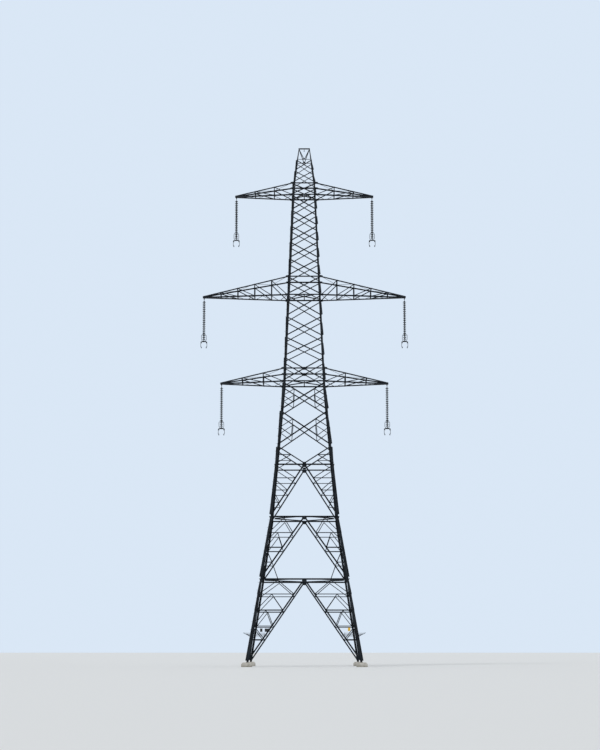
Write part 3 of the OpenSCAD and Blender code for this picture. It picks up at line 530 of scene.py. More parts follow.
def v_panel_bolts(s, z0, z1, foot, shares, fans):
    """Bolts of one braced panel, as (point on the face, how far out of the face it sits)."""
    head = z1 - HEAD_DROP + MAIN_W / 2 - LIGHT_W / 2
    levels = len(shares)
    main_out, light_out = SEAT + MAIN_T, SEAT + LIGHT_T
    found = []
    for hand in (-1, 1):

        def diagonal(i):
            return diagonal_point(hand, s, foot, z1, shares[i - 1] if i else 0)

        def leg_end(i):
            return on_leg(hand, s, diagonal(i).y if i else head)

        def middle(i):
            quarter = Vector((hand * half_on(s, z1) * QUARTER, head))
            return leg_end(i).lerp(diagonal(i), FAN_SHARE) if i else quarter

        head_point, foot_point = diagonal(0), on_leg(hand, s, foot)
        for distance in MAIN_BOLTS:
            found.append((toward(head_point, foot_point, distance), main_out))
            found.append((toward(foot_point, head_point, distance - FOOT_SHIFT), main_out))
        bars = []
        for i in range(1, levels + 1):
            heavy = fans and i == HEAVY_RUNG
            bars.append((leg_end(i), diagonal(i), SEAT + BRACE_T if heavy else light_out))
        for i in range(1, fans + 1):
            bars.append((leg_end(i), middle(i - 1), light_out))
            bars.append((toward(middle(i - 1), diagonal(i), END_INSET), diagonal(i), light_out))
        for i in range(fans + 1, levels + 1):
            drop = Vector((0, LIGHT_W * 2 if i > 1 else 0))
            bars.append((leg_end(i - 1) - drop, diagonal(i), light_out))
        for a, b, out in bars:
            found.append((toward(a, b, END_BOLTS[0]), out))
            found.append((toward(b, a, NODE_INSET), out))
        level = z1 - MAIN_W / 2 - CLEAR / 2
        for distance in END_BOLTS:
            found.append((on_leg(hand, s, level) - Vector((hand * distance, 0)), main_out))
        for across in GUSSET_ACROSS:
            found.append((Vector((hand * across, level)), main_out))
    return found


panel_heads = [
    face_frame(face, panel[0], point.y, point.x, out)
    for panel in PANELS
    for point, out in v_panel_bolts(*panel)
    for face in FACES
]
for s, z in ((0, Z_FIRST - MAIN_W / 2), (0, Z_BEND - MAIN_W / 2)):
    edge = half_on(s, z) - LEG_T[s] - SEAT - MAIN_T / 2
    for face in FACES:
        for across in (-DIAMOND_ACROSS, DIAMOND_ACROSS):
            for inward in DIAMOND_INWARD:
                shift = Matrix.Translation((across, inward - edge, z + BRACE_T))
                panel_heads.append(quarter_turns(face) @ shift)
dress(stamp(HEAD, panel_heads, "panel_bolts"), BOLT_STEEL, "tower")

# Waist, cage and peak. Crossed steel angles, one outside the leg flanges and one inside, with a
# packing and one bolt where they cross. Two leaning gables on the peak hold up the ridge bar.
WAIST_W = BRACE_W * 1.15
WAIST_FOOT, WAIST_FOOT_UP = WAIST_W * 0.3, WAIST_W * 0.7
PEAK_W = LIGHT_W
PEAK_LEVELS = (Z_NECK, Z_NECK + 0.635, Z_NECK + 1.235)
GABLE_RIB_T = 0.008
GABLE_POST_IN, GABLE_POST_BOLTS = PEAK_W * 0.8, (PEAK_W, PEAK_W * 0.3)
GABLE_SILL_BOLTS = (PEAK_W * 0.35, PEAK_W * 1.2)
GABLE_TIE_FOOT, GABLE_TIE_BOLTS = PEAK_W * 0.6, (0, 0.022)
TALL_PANEL = 1.3
LOWER_TAPER, UPPER_TAPER = 1.03, 0.966
NODE_REACH, PLAIN_REACH = 2.0, 1.1
GUSSET_BOLTS = (0.055, 0.095)
CAGE_STEEL = weathered_steel("cage steel", STEEL_DARK, STEEL_MID, STEEL_PALE, 2.7, 18.0)

finish_in(CAGE_STEEL, "arm_level_frames", "peak_frame", "ridge_bar")
finish_in(CAGE_STEEL, *[f"waist_panels_{side}" for side in SIDES])
finish_in(CAGE_STEEL, *[f"cage_side_{side}" for side in SIDES])


def tapered_levels(low, high, count, taper):
    """Heights of panel joints, each panel a fixed share of the one below it."""
    sums = [sum(taper**j for j in range(i)) for i in range(count + 1)]
    return [low + (high - low) * part / sums[-1] for part in sums]


def crossed_panels():
    """Every crossed panel as (stretch, foot, head, bar width, bar thickness, node reach)."""
    bottom, middle, top = Z_ARMS
    rows = [
        (1, Z_CROSS, Z_MID_CROSS, WAIST_W, BRACE_T, PLAIN_REACH),
        (1, Z_MID_CROSS, bottom, WAIST_W, BRACE_T, PLAIN_REACH),
        (2, bottom, bottom + TALL_PANEL, BRACE_W, BRACE_T, NODE_REACH),
        (2, middle, middle + ARM_DEPTHS[1], BRACE_W, BRACE_T, NODE_REACH),
        (2, top, Z_NECK, BRACE_W, BRACE_T, NODE_REACH),
        (3, PEAK_LEVELS[0], PEAK_LEVELS[1], PEAK_W, LIGHT_T, PLAIN_REACH),
        (3, PEAK_LEVELS[1], PEAK_LEVELS[2], PEAK_W, LIGHT_T, PLAIN_REACH),
    ]
    for low, high, count, taper in (
        (bottom + TALL_PANEL, middle, 3, LOWER_TAPER),
        (middle + ARM_DEPTHS[1], top, 5, UPPER_TAPER),
    ):
        levels = tapered_levels(low, high, count, taper)
        rows += [(2, a, b, BRACE_W, BRACE_T, PLAIN_REACH) for a, b in zip(levels, levels[1:])]
    return rows


def cross_point(s, low, high):
    """Where two diagonals cross that run between two heights."""
    wide, narrow = on_leg(1, s, low).x, on_leg(1, s, high).x
    return Vector((0, low + (high - low) * wide / (wide + narrow)))


def light_ties():
    """Bars of the waist and cage, as (stretch, start, end, thickness outside the leg or 0)."""
    ties = []
    for hand in (-1, 1):
        foot = Vector((hand * WAIST_FOOT, Z_WAIST + WAIST_FOOT_UP))
        head = on_leg(hand, 1, Z_CROSS - WAIST_W)
        joint = foot.lerp(head, 0.5)
        ties.append((1, head, foot, BRACE_T))
        for z in (joint.y, Z_WAIST + LIGHT_W):
            ties.append((1, on_leg(hand, 1, z), joint, LIGHT_T))
        for z0, z1 in ((Z_CROSS, Z_MID_CROSS), (Z_MID_CROSS, Z_ARMS[0])):
            low, high = z0 + WAIST_W * PLAIN_REACH, z1 - WAIST_W * PLAIN_REACH
            upper = cross_point(1, low, high).lerp(on_leg(hand, 1, high), 0.5)
            lower = cross_point(1, low, high).lerp(on_leg(hand, 1, low), 0.5)
            near, far = (upper, lower) if hand > 0 else (lower, upper)
            leg = on_leg(hand, 1, (upper.y + lower.y) / 2)
            ties += [(1, near, far, LIGHT_T), (1, leg, near, LIGHT_T), (1, leg, far, 0)]
        low = Z_ARMS[0] + BRACE_W * NODE_REACH
        high = Z_ARMS[0] + TALL_PANEL - BRACE_W * NODE_REACH
        joint = cross_point(2, low, high).lerp(on_leg(hand, 2, low), 0.5)
        leg = on_leg(hand, 2, Z_ARMS[0] + ARM_DEPTHS[0] - MAIN_W)
        ties.append((2, leg, joint, LIGHT_T if hand < 0 else 0))
    return ties


cage_heads, cage_nuts = [], []
for s, z0, z1, width, thick, reach in crossed_panels():
    low, high = z0 + width * reach, z1 - width * reach
    a, b = on_leg(-1, s, low), on_leg(1, s, high)
    c, d = on_leg(1, s, low), on_leg(-1, s, high)
    meet = cross_point(s, low, high)
    behind = -LEG_T[s] - SEAT - thick
    spacing = END_BOLTS if s < 3 else END_BOLTS[:1]
    near = GUSSET_BOLTS if z0 == Z_ARMS[0] else ()
    for face in FACES:
        cage_heads.append(face_frame(face, s, meet.y, meet.x, SEAT + thick))
        cage_nuts.append(turned_in(face_frame(face, s, meet.y, meet.x, behind)))
        for end in (a, b):
            ends = [toward(end, meet, distance - END_BOLTS[0] / 2) for distance in spacing]
            for point in ends + [toward(meet, end, distance) for distance in near]:
                cage_heads.append(face_frame(face, s, point.y, point.x, SEAT + thick))
        for end in (c, d):
            ends = [toward(end, meet, distance - END_BOLTS[0] / 2) for distance in spacing]
            for point in ends + [toward(meet, end, distance) for distance in near]:
                cage_nuts.append(turned_in(face_frame(face, s, point.y, point.x, behind)))
            cage_heads.append(face_frame(face, s, ends[0].y, ends[0].x))
for s, start, end, thick in light_ties():
    for point in (toward(start, end, END_BOLTS[0]), toward(end, start, NODE_INSET + END_INSET)):
        for face in FACES:
            if thick:
                cage_heads.append(face_frame(face, s, point.y, point.x, SEAT + thick))
            else:
                behind = -LEG_T[s] - SEAT - LIGHT_T
                cage_nuts.append(turned_in(face_frame(face, s, point.y, point.x, behind)))

gable_low = half_on(3, PEAK_LEVELS[2])
gable_tilt = math.atan(gable_low / (Z_RIDGE - PEAK_LEVELS[2]))
rib_reach = gable_low - GABLE_RIB_T / 2 - SEAT - LEG_T[3] * math.cos(gable_tilt)
gable_top = rib_reach / math.sin(gable_tilt)
gable_corner = PEAK_W / 2 * (gable_low - RIDGE_L / 2) / gable_top
gable_top -= gable_corner
sill = gable_corner + SEAT + PEAK_W / 2
gable_points = [
    Vector((gable_low - GABLE_POST_IN + (RIDGE_L / 2 - gable_low) * y / gable_top, y))
    for y in (sill, *(gable_top - distance for distance in GABLE_POST_BOLTS))
]
gable_points += [Vector((across, sill)) for across in GABLE_SILL_BOLTS]
tie_foot = Vector((GABLE_TIE_FOOT, sill + PEAK_W))
gable_points += [toward(tie_foot, gable_points[1], distance) for distance in GABLE_TIE_BOLTS]
for face in (0, 2):
    for hand in (-1, 1):
        for point in gable_points:
            place = (
                quarter_turns(face)
                @ Matrix.Translation((0, -gable_low, PEAK_LEVELS[2]))
                @ Matrix.Rotation(math.pi / 2 - gable_tilt, 4, "X")
                @ Matrix.Translation((hand * point.x, point.y, LIGHT_T - LEG_T[3]))
            )
            cage_heads.append(place)
            behind = Matrix.Translation((0, 0, -SEAT - LIGHT_T * 2))
            if point.y < gable_top - PEAK_W / 2:
                cage_nuts.append(turned_in(place @ behind))
dress(stamp(HEAD, cage_heads, "cage_bolts"), BOLT_STEEL, "tower")
dress(stamp(NUT, cage_nuts, "cage_nuts"), BOLT_STEEL, "tower")

# Cross arms. Shop-made trusses of angles that taper to a tip with hanger lugs. Posts and ties are
# bolted behind the chords, with small plates at the joints and a bent plate at each root.
ARM_REACH = (4.165, 5.08, 3.465)
ARM_BAYS = (3, 5, 3)
TIP_OVER, TIP_W, TIP_H = 0.07, 0.13, 0.072
CHORD_W, CHORD_T = 0.063, 0.006
OVERRUN, INSET = 0.015, 0.002
LUG_DROP = 0.042
JOINT_PLATE = (0.12, 0.07, 0.004)
JOINT_CUT = 0.3
JOINT_SHIFT, JOINT_SPACING = 0.012, 0.033
TIP_BOLTS = (0.03, 0.075, 0.12)
ROOT_T, ROOT_H, ROOT_OUT = 0.006, 0.13, 0.15
ROOT_EDGE, ROOT_LIP = 0.001, 0.012
ROOT_END_H, ROOT_LIP_H = 0.62, 0.7
ROOT_BOLTS, ROOT_LIFT = (0.020, 0.052), 0.035
ARM_STEEL = weathered_steel("arm steel", STEEL_DARK, STEEL_MID, STEEL_PALE, 2.5, 20.0)
LEVELS = ("bottom", "middle", "top")

finish_in(ARM_STEEL, *[f"arm_{level}_{hand}" for level in LEVELS for hand in ("left", "right")])


def facing(point, direction, upright=(1, 0, 0)):
    """A frame at a point whose Z looks along a direction and whose X is nearest to upright."""
    z = Vector(direction).normalized()
    x = (Vector(upright) - z * Vector(upright).dot(z)).normalized()
    y = z.cross(x)
    turn = Matrix((x, y, z)).transposed().to_4x4()
    return Matrix.Translation(point) @ turn


def arm_truss(level):
    """The front side truss of the right arm: its frame's axes, origin, length, depth and top."""
    z, depth = Z_ARMS[level], ARM_DEPTHS[level]
    body = half_on(2, z) - OVERRUN
    body_top = half_on(2, z + depth) - OVERRUN
    start = Vector((body, INSET - half_on(2, z), z))
    end = Vector((ARM_REACH[level] + TIP_OVER, -TIP_W / 2, z))
    top = Vector((body_top, INSET - half_on(2, z + depth), z + depth))
    along = (end - start).normalized()
    rise = top - start
    up = (rise - along * rise.dot(along)).normalized()
    return along, up, start, (end - start).length, rise.dot(up), rise.dot(along)


def joint_plate(name):
    """A small eight-sided plate at a joint of an arm."""
    plate = block(JOINT_PLATE, (0, 0, JOINT_PLATE[2] / 2))
    cut_corners(plate, JOINT_PLATE[1] * JOINT_CUT, lambda corner: True)
    plate.name = name
    return plate


def root_plate(face, level, z, hand):
    """A plate bolted on a leg's flange and bent back along the side of an arm."""
    body = half_on(2, Z_ARMS[level])
    slope = (body - TIP_W / 2) / (ARM_REACH[level] + TIP_OVER - body)
    middle = half_on(2, z) - LEG_W[2] / 2 + ROOT_EDGE
    plate = block((LEG_W[2] - ROOT_EDGE * 2, ROOT_H, ROOT_T), (middle, 0, 0))
    bpy.ops.object.mode_set(mode="EDIT")
    for side, reach, bend, height in (
        (1, ROOT_OUT, ROOT_OUT * slope, ROOT_END_H),
        (-1, -ROOT_LIP, 0, ROOT_LIP_H),
    ):
        pick_faces(lambda f: f.normal.x * side > 0.9)
        bpy.ops.mesh.extrude_region_move(TRANSFORM_OT_translate={"value": (reach, 0, -bend)})
        bpy.ops.transform.resize(value=(1, height, 1))
    bpy.ops.object.mode_set(mode="OBJECT")
    if hand < 0:
        plate.data.transform(Matrix.Scale(-1, 4, (1, 0, 0)))
        plate.data.flip_normals()
    plate.data.transform(face_frame(face, 2, z, 0, SEAT + ROOT_T / 2))
    return plate


arm_plates, arm_heads, arm_nuts, roots = [], [], [], []
for level in range(3):
    along, up, start, length, depth, inward = arm_truss(level)
    out = along.cross(up)
    bays = ARM_BAYS[level]
    hang = length - TIP_OVER
    low_y = CHORD_W / 2
    top_start = Vector((inward, depth - CHORD_W / 2))
    top_end = Vector((length, TIP_H - CHORD_W * 0.2))
    for mirror_x in (-1, 1):
        for mirror_y in (-1, 1):

            def put(x, y, height, inside=False):
                """A frame on the outer or inner face of a truss, at x along it and y up it."""
                point = start + along * x + up * y + out * height
                normal = -out if inside else out
                flip = Vector((mirror_x, mirror_y, 1))
                return facing(point * flip, normal * flip, along * flip)

            for i in range(1, bays):
                x = hang * i / bays
                share = (x - inward) / (length - inward)
                top_y = top_start.lerp(top_end, share).y
                for y in (low_y, top_y):
                    arm_plates.append(put(x - JOINT_SHIFT, y, SEAT))
                    arm_nuts.append(put(x, y, -CHORD_T, inside=True))
                    for step in (-1, 0, 1):
                        shift = step * JOINT_SPACING - JOINT_SHIFT
                        arm_heads.append(put(x + shift, y, SEAT + JOINT_PLATE[2]))
            for distance in TIP_BOLTS:
                arm_heads.append(put(length - distance, low_y, 0))
    for z in (Z_ARMS[level] + CHORD_W / 2, Z_ARMS[level] + ARM_DEPTHS[level] - CHORD_W / 2):
        for face in (0, 2):
            for hand in (-1, 1):
                roots.append(root_plate(face, level, z, hand))
                for inset in ROOT_BOLTS:
                    across = hand * (half_on(2, z) - inset)
                    for lift in (-ROOT_LIFT, ROOT_LIFT):
                        place = face_frame(face, 2, z, across, SEAT + ROOT_T)
                        arm_heads.append(place @ Matrix.Translation((0, lift, 0)))
JOINT = joint_plate("pattern_joint_plate")
dress(stamp(JOINT, arm_plates, "arm_joint_plates"), ARM_STEEL, "tower")
dress(join(roots, "arm_root_plates"), ARM_STEEL, "tower")
dress(stamp(HEAD, arm_heads, "arm_bolts"), BOLT_STEEL, "tower")
dress(stamp(NUT, arm_nuts, "arm_nuts"), BOLT_STEEL, "tower")

# Insulator strings. Twenty-one dark glazed discs, each cemented between a dull cap and the pin
# that hooks into the next cap. The discs have drip ribs below, and a split pin locks each cap.
EYE_R = 0.0234
LINK_L = 0.105
DISC_COUNT, DISC_PITCH, DISC_D = 21, 0.0955, 0.160
CAP_R = 0.030
CAP_END, GLAZE_END = 0.365, 0.77
RIB_RADII = (0.30, 0.385)
RIB_T, RIB_DEPTH = 0.0035, 0.010
RIB_LEVEL = 0.71
COLLAR_R, COLLAR_LEVEL = 0.0028, 0.315
PIN_EYE_R, PIN_WIRE = 0.0045, 0.0011
PIN_LEG_R, PIN_OUT, PIN_LEVEL, PIN_TURN = 0.0016, 0.003, 0.2, 1.3
GLAZE_DARK = (0.005, 0.009, 0.010, 1)
GLAZE_PALE = (0.010, 0.016, 0.018, 1)
GLAZE_SHINE = 0.25
CAP_COLOUR = (0.016, 0.017, 0.018, 1)
CAP_RUST = (0.024, 0.015, 0.010, 1)


def object_axes(tree):
    return add_node(tree, "SeparateXYZ", Vector=object_place(tree)).outputs


def band_group():
    """A mask of what is glazed on a string: 1 between two shares of each disc's pitch."""
    group, given, made = effect_group(
        "disc bands", {"Top": 0.0, "Pitch": DISC_PITCH}, ("Glazed",)
    )
    below = add_math(group, "SUBTRACT", given.outputs["Top"], object_axes(group)["Z"])
    turns = add_math(group, "DIVIDE", below, given.outputs["Pitch"])
    share = add_math(group, "FRACT", turns)
    past_cap = add_math(group, "GREATER_THAN", share, CAP_END)
    before_pin = add_math(group, "LESS_THAN", share, GLAZE_END)
    started = add_math(group, "GREATER_THAN", turns, 0.0)
    ended = add_math(group, "LESS_THAN", turns, DISC_COUNT)
    inner = add_math(group, "MULTIPLY", past_cap, before_pin)
    outer = add_math(group, "MULTIPLY", started, ended)
    feed(group, made, Glazed=add_math(group, "MULTIPLY", inner, outer))
    return group


BANDS = band_group()


def string_finish(name, top):
    """Dark glaze on the discs and dull galvanised metal between them."""
    material, tree, shader = new_material(name)
    glazed = add_group(tree, BANDS, Top=top)["Glazed"]
    weather = add_weather(tree, 9.0, 40.0, 500.0)
    glaze = mix_colour(tree, weather["Patches"], GLAZE_DARK, GLAZE_PALE)
    rust = ranged(tree, weather["Streaks"], 0.0, 0.8)
    metal = mix_colour(tree, rust, CAP_COLOUR, CAP_RUST)
    feed(
        tree,
        shader,
        Base_Color=mix_colour(tree, glazed, metal, glaze),
        Roughness=ranged(tree, glazed, 0.62, 0.22),
        Specular_IOR_Level=GLAZE_SHINE,
        Normal=add_bump(tree, weather["Grain"], 0.0004, 0.35),
    )
    return material


def glaze_finish(name):
    material, tree, shader = new_material(name)
    weather = add_weather(tree, 9.0, 40.0, 500.0)
    feed(
        tree,
        shader,
        Base_Color=mix_colour(tree, weather["Patches"], GLAZE_DARK, GLAZE_PALE),
        Roughness=ranged(tree, weather["Grain"], 0.12, 0.24),
        Specular_IOR_Level=GLAZE_SHINE,
    )
    return material


def rib_ring(radius, middle_z):
    """A drip rib: a short tube."""
    wall = cylinder(24, radius, RIB_DEPTH, (0, 0, middle_z))
    bpy.ops.object.mode_set(mode="EDIT")
    pick_faces(lambda face: abs(face.normal.z) > 0.9)
    bpy.ops.mesh.inset(thickness=RIB_T)
    bpy.ops.mesh.bridge_edge_loops()
    bpy.ops.object.mode_set(mode="OBJECT")
    return wall


def ring(around, across, radius, thick, middle=(0, 0, 0), turn=(0, 0, 0)):
    """A ring of round wire, with so many faces around it and across the wire."""
    bpy.ops.object.select_all(action="DESELECT")
    bpy.ops.mesh.primitive_torus_add(
        major_segments=around,
        minor_segments=across,
        major_radius=radius,
        minor_radius=thick,
        location=middle,
        rotation=turn,
    )
    return bpy.context.object


def split_pin(name):
    """A split pin through a cap: a round eye outside and two legs."""
    eye = ring(10, 5, PIN_EYE_R, PIN_WIRE, (CAP_R + PIN_EYE_R, 0, 0), (math.pi / 2, 0, 0))
    legs = cylinder(6, PIN_LEG_R, (CAP_R + PIN_OUT) * 2, (0, 0, 0))
    legs.rotation_euler = (0, math.pi / 2, 0)
    return join([eye, legs], name)


def cap_collar(name):
    """The rolled lower edge of a cap."""
    return join([ring(24, 6, CAP_R, COLLAR_R, (0, 0, -DISC_PITCH * COLLAR_LEVEL))], name)


GLAZE = glaze_finish("disc glaze")
CAP_METAL = weathered_steel("cap metal", CAP_COLOUR, CAP_RUST, STEEL_PALE, 9.0, 40.0)
PIN = split_pin("pattern_split_pin")
COLLAR = cap_collar("pattern_collar")
RIBS = join(
    [rib_ring(DISC_D * share, -DISC_PITCH * RIB_LEVEL) for share in RIB_RADII], "pattern_ribs"
)
for level, level_name in enumerate(LEVELS):
    eye_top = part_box(f"string_{level_name}_right")[1].z
    pin_z = eye_top - EYE_R
    finish = string_finish(f"{level_name} string", pin_z - LINK_L)
    for hand, side in ((-1, "left"), (1, "right")):
        body = f"set_{level_name}_{side}"
        finish_in(finish, f"string_{level_name}_{side}")
        tops = [
            Matrix.Translation((hand * ARM_REACH[level], 0, pin_z - LINK_L - DISC_PITCH * i))
            for i in range(DISC_COUNT)
        ]
        ribs = stamp(RIBS, tops, f"disc_ribs_{level_name}_{side}")
        dress(ribs, GLAZE, body)
        pins = [
            top
            @ Matrix.Translation((0, 0, -DISC_PITCH * PIN_LEVEL))
            @ Matrix.Rotation(i * PIN_TURN, 4, "Z")
            for i, top in enumerate(tops)
        ]
        locks = stamp(PIN, pins, f"cap_split_pins_{level_name}_{side}")
        dress(locks, BOLT_STEEL, body)
        collars = stamp(COLLAR, tops, f"cap_collars_{level_name}_{side}")
        dress(collars, CAP_METAL, body)

# Line ends. A forged steel socket carries a flat yoke with four round clamps at the corners of a
# square, and an oval arcing ring of galvanised tube leans over the lowest discs.
FITTING_DARK = (0.010, 0.012, 0.015, 1)
FITTING_MID = (0.022, 0.026, 0.030, 1)
FITTING_PALE = (0.055, 0.060, 0.066, 1)
BUNDLE_W, BUNDLE_H = 0.25, 0.25
CLAMP_R, CLAMP_L = 0.01716, 0.11
YOKE_T, YOKE_ARM_W = 0.012, 0.022
YOKE_ARM_X = BUNDLE_W / 2 + CLAMP_R + CLEAR + YOKE_ARM_W
TAB_H, CLAMP_DROP = 0.034, 0.075
SOCKET_L, FOOT_PIN = 0.06, 0.010
BELL_R, BELL_H, BELL_UP = 0.023, 0.048, SOCKET_L * 0.6
BELL_LIP, BELL_NECK = 1.28, 0.74
CHEEK_OUT, CHEEK_UP = YOKE_T / 2 + SEAT + YOKE_T * 0.4, 0.026
YOKE_BOLT_UP, END_BOLT_SCALE = 0.004, 0.72
STRAP_R, STRAP_WIRE, STRAP_LEG = CLAMP_R + CLEAR, 0.0028, 0.024
STRAP_NUT_R, STRAP_NUT_T, STRAP_NUT_DROP = 0.0058, 0.005, 0.0205
STRAP_APART, EARTH_STRAP_APART = CLAMP_L * 0.6, CLAMP_L * 0.5
EARTH_CLAMP_R, EARTH_DROP = 0.0147, 0.15
FITTING = weathered_steel("fittings", FITTING_DARK, FITTING_MID, FITTING_PALE, 12.0, 40.0)


def u_bolt(name):
    """A U-bolt on a clamp: a strap round it and two legs with nuts."""
    parts = [ring(20, 8, STRAP_R, STRAP_WIRE, turn=(math.pi / 2, 0, 0))]
    for x in (-STRAP_R, STRAP_R):
        parts.append(cylinder(8, STRAP_WIRE, STRAP_LEG, (x, 0, -STRAP_LEG / 2)))
        parts.append(cylinder(6, STRAP_NUT_R, STRAP_NUT_T, (x, 0, -STRAP_NUT_DROP)))
    return join(parts, name)


def socket_bell(name):
    """The forged bell of a socket: a waisted neck, a round body and a flared lip on top."""
    bell = cylinder(16, BELL_R, BELL_H / 2, (0, 0, 0))
    bpy.ops.object.mode_set(mode="EDIT")
    pick_faces(lambda face: face.normal.z > 0.9)
    bpy.ops.mesh.extrude_region_move(TRANSFORM_OT_translate={"value": (0, 0, BELL_H / 8)})
    bpy.ops.transform.resize(value=(BELL_LIP, BELL_LIP, 1))
    bpy.ops.mesh.extrude_region_move(TRANSFORM_OT_translate={"value": (0, 0, BELL_H / 10)})
    bpy.ops.mesh.inset(thickness=BELL_R * 0.3, depth=-BELL_R * 0.2)
    pick_faces(lambda face: face.normal.z < -0.9)
    bpy.ops.mesh.extrude_region_move(TRANSFORM_OT_translate={"value": (0, 0, -BELL_H / 4)})
    bpy.ops.transform.resize(value=(BELL_NECK, BELL_NECK, 1))
    bpy.ops.object.mode_set(mode="OBJECT")
    return join([bell], name)


earth_bolts = [
    Matrix.Translation((0, side * EARTH_STRAP_APART / 2, Z_RIDGE - EARTH_DROP))
    @ Matrix.Scale(EARTH_CLAMP_R / CLAMP_R, 4)
    for side in (-1, 1)
]
BELL = socket_bell("pattern_bell")
U_BOLT = u_bolt("pattern_u_bolt")
dress(stamp(U_BOLT, earth_bolts, "earth_clamp_u_bolts"), FITTING, "tower")
for level, level_name in enumerate(LEVELS):
    pin_z = Z_ARMS[level] - LUG_DROP
    plate_z = pin_z - LINK_L - DISC_COUNT * DISC_PITCH - FOOT_PIN - SEAT - SOCKET_L
    upper = plate_z - CLAMP_DROP
    for hand, side in ((-1, "left"), (1, "right")):
        body = f"set_{level_name}_{side}"
        finish_in(FITTING, f"yoke_{level_name}_{side}")
        middle = hand * ARM_REACH[level]
        straps, bolts = [], [(middle, YOKE_T / 2, plate_z + YOKE_BOLT_UP)]
        for across in (-1, 1):
            x = middle + across * BUNDLE_W / 2
            arm_x = middle + across * (YOKE_ARM_X - YOKE_ARM_W / 2)
            for z in (upper, upper - BUNDLE_H):
                for y in (-STRAP_APART / 2, STRAP_APART / 2):
                    straps.append(Matrix.Translation((x, y, z)))
                bolts.append((x, CHEEK_OUT, z + CHEEK_UP))
                bolts.append((arm_x, YOKE_T / 2, z + TAB_H + YOKE_ARM_W / 2))
        places = [
            facing((x, way * out, z), (0, way, 0)) @ Matrix.Scale(END_BOLT_SCALE, 4)
            for x, out, z in bolts
            for way in (-1, 1)
        ]
        bell = Matrix.Translation((middle, 0, plate_z + BELL_UP))
        for pattern, spots, name, steel in (
            (U_BOLT, straps, "clamp_u_bolts", FITTING),
            (HEAD, places, "clamp_bolts", BOLT_STEEL),
            (BELL, [bell], "socket_bell", FITTING),
        ):
            dress(stamp(pattern, spots, f"{name}_{level_name}_{side}"), steel, body)

# Climbing guards. Square arms slope up and out above head height from each leg and the diagonals
# beside it. They carry wires round the corner, each with a row of short barbs twisted round it.
GUARD_Z, GUARD_OUT = 1.42, 0.40
GUARD_RISE = math.radians(20)
GUARD_WIRE, GUARD_WIRES = 0.006, 5
GUARD_INSET = LEG_W[0] * 0.45
GUARD_BAR = 0.016
GUARD_FOOT_T = GUARD_BAR / 2
SCREW_SCALE, SCREW_ACROSS, SCREW_DOWN = 0.4, GUARD_BAR * 0.75, GUARD_BAR * 0.7
BARB_PITCH, BARB_START, BARB_TURN = 0.07, 0.6, 0.9
BARB_LENGTH, BARB_R, BARB_WRAP_R = 0.030, 0.0013, GUARD_WIRE * 0.72

finish_in(BRACE_STEEL, "climbing_guards")


def barb(name):
    """Two crossed pricks of cut wire wound round a strand that runs along X."""
    parts = []
    for way in (-1, 1):
        prick = cylinder(5, BARB_R, BARB_LENGTH, (way * BARB_R * 1.5, 0, 0))
        prick.rotation_euler = (way * math.pi / 4, 0, 0)
        parts.append(prick)
    parts.append(ring(8, 4, BARB_WRAP_R, BARB_R, turn=(0, math.pi / 2, 0)))
    return join(parts, name)


barbs, guard_screws = [], []
guard_half = half_on(0, GUARD_Z)
guard_slope = GUARD_RISE + lean(0)
panel_head = diagonal_point(1, 0, FOOTING_H + MAIN_W, Z_FIRST, 0).y
guard_share = (panel_head - GUARD_Z) / (panel_head - FOOTING_H - MAIN_W)
guard_diagonal = diagonal_point(1, 0, FOOTING_H + MAIN_W, Z_FIRST, guard_share).x
for corner in FACES:
    for i in range(1, GUARD_WIRES + 1):
        run = (GUARD_OUT - GUARD_WIRE * 2) * i / GUARD_WIRES
        edge = guard_half + run * math.cos(guard_slope)
        z = GUARD_Z + run * math.sin(guard_slope)
        reach = edge - guard_diagonal + GUARD_BAR
        for j in range(int(reach / BARB_PITCH)):
            along = -edge + BARB_PITCH * (j + BARB_START)
            line = -edge + GUARD_WIRE / 2
            spin = Matrix.Rotation(j * BARB_TURN + i, 4, "X")
            for x, y, turned in ((along, line, 0), (line, along, 1)):
                place = quarter_turns(corner) @ Matrix.Translation((x, y, z))
                barbs.append(place @ quarter_turns(turned) @ spin)
    for hand in (-1, 1):
        for across, lift in (
            (guard_half - GUARD_INSET, SEAT),
            (guard_diagonal, SEAT * 2 + MAIN_T),
        ):
            place = face_frame(corner, 0, GUARD_Z, hand * across, lift + GUARD_FOOT_T)
            for side in (-1, 1):
                shift = Matrix.Translation((side * SCREW_ACROSS, -side * SCREW_DOWN, 0))
                guard_screws.append(place @ shift @ Matrix.Scale(SCREW_SCALE, 4))
BARB = barb("pattern_barb")
dress(stamp(BARB, barbs, "guard_barbs"), BOLT_STEEL, "tower")
dress(stamp(HEAD, guard_screws, "guard_screws"), BOLT_STEEL, "tower")

# Plates. Three bare sheet plates hang on straps inside a light bar of the back panel: a yellow one
# by the right leg and two dark ones by the left leg. Screws hold each strap to plate and bar.
PLATE_YELLOW = (0.86, 0.52, 0.04, 1)
PLATE_FADED = (0.62, 0.36, 0.05, 1)
PLATE_DARK = (0.012, 0.013, 0.015, 1)
PLATE_GREY = (0.030, 0.032, 0.035, 1)
PLATE_PLACES = ((-0.928, 0.12, 0.018), (0.895, 0.12, 0.06), (0.77, 0.26, 0.06))
PLATE_STRAP, STRAP_SHARE, PLATE_SCREW = 0.014, 0.3, 0.34


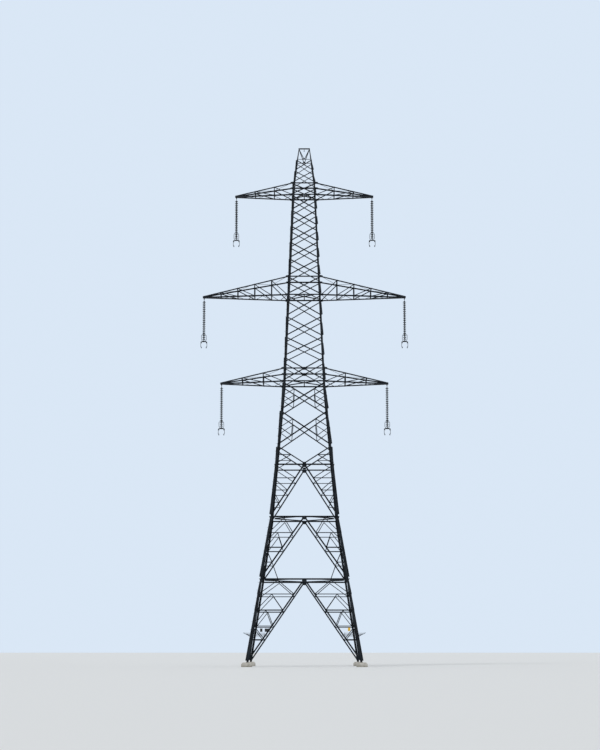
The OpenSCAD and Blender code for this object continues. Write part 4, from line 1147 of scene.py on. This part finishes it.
def plate_finish():
    """Yellow paint on the side of the right leg and near black on the other."""
    material, tree, shader = new_material("plate colours")
    weather = add_weather(tree, 14.0, 60.0, 600.0)
    right = add_math(tree, "GREATER_THAN", object_axes(tree)["X"], 0.0)
    yellow = mix_colour(tree, weather["Streaks"], PLATE_YELLOW, PLATE_FADED)
    dark = mix_colour(tree, weather["Patches"], PLATE_DARK, PLATE_GREY)
    feed(
        tree,
        shader,
        Base_Color=mix_colour(tree, right, dark, yellow),
        Roughness=ranged(tree, weather["Patches"], 0.38, 0.6),
        Normal=add_bump(tree, weather["Grain"], 0.0003, 0.3),
    )
    return material


finish_in(plate_finish(), "plates")

rung = diagonal_point(1, 0, FOOTING_H + MAIN_W, Z_FIRST, BASE_RUNGS[2]).y
plate_screws = []
for share, width, drop in PLATE_PLACES:
    for side in (-1, 1):
        across = on_leg(1, 0, rung).x * share + side * width * STRAP_SHARE
        inside = turned_in(face_frame(2, 0, rung, across, -CLEAR))
        outside = face_frame(2, 0, rung, across, SEAT + LIGHT_T)
        for place, up in ((inside, drop + PLATE_STRAP / 2), (inside, 0), (outside, 0)):
            at = place @ Matrix.Translation((0, up, 0))
            plate_screws.append(at @ Matrix.Scale(PLATE_SCREW, 4))
dress(stamp(HEAD, plate_screws, "plate_screws"), BOLT_STEEL, "tower")

# Footings. Cast concrete muffs round the leg stubs, with sloped tops that shed rain. They are
# stained dark near the soil and pitted by air bubbles.
CONCRETE_PALE = (0.46, 0.45, 0.42, 1)
CONCRETE_DARK = (0.30, 0.29, 0.26, 1)
SOIL_STAIN = (0.13, 0.12, 0.08, 1)


def concrete_finish():
    material, tree, shader = new_material("footing concrete")
    weather = add_weather(tree, 5.0, 20.0, 160.0)
    body = mix_colour(tree, weather["Patches"], CONCRETE_PALE, CONCRETE_DARK)
    low = masked(tree, object_axes(tree)["Z"], 0.10, 0.0)
    soiled = add_math(tree, "MULTIPLY", low, ranged(tree, weather["Patches"], 0.35, 1.0))
    pits = add_node(tree, "TexVoronoi", Vector=object_place(tree), Scale=46.0)
    holes = masked(tree, pits.outputs["Distance"], 0.05, 0.22)
    rough = add_math(tree, "MULTIPLY_ADD", weather["Grain"], 0.5, holes)
    feed(
        tree,
        shader,
        Base_Color=mix_colour(tree, soiled, body, SOIL_STAIN),
        Roughness=0.92,
        Normal=add_bump(tree, rough, 0.002),
    )
    return material


finish_in(concrete_finish(), "footings")

for pattern in (HEAD, NUT, STEP, JOINT, PIN, COLLAR, RIBS, BELL, U_BOLT, BARB):
    bpy.data.objects.remove(pattern)
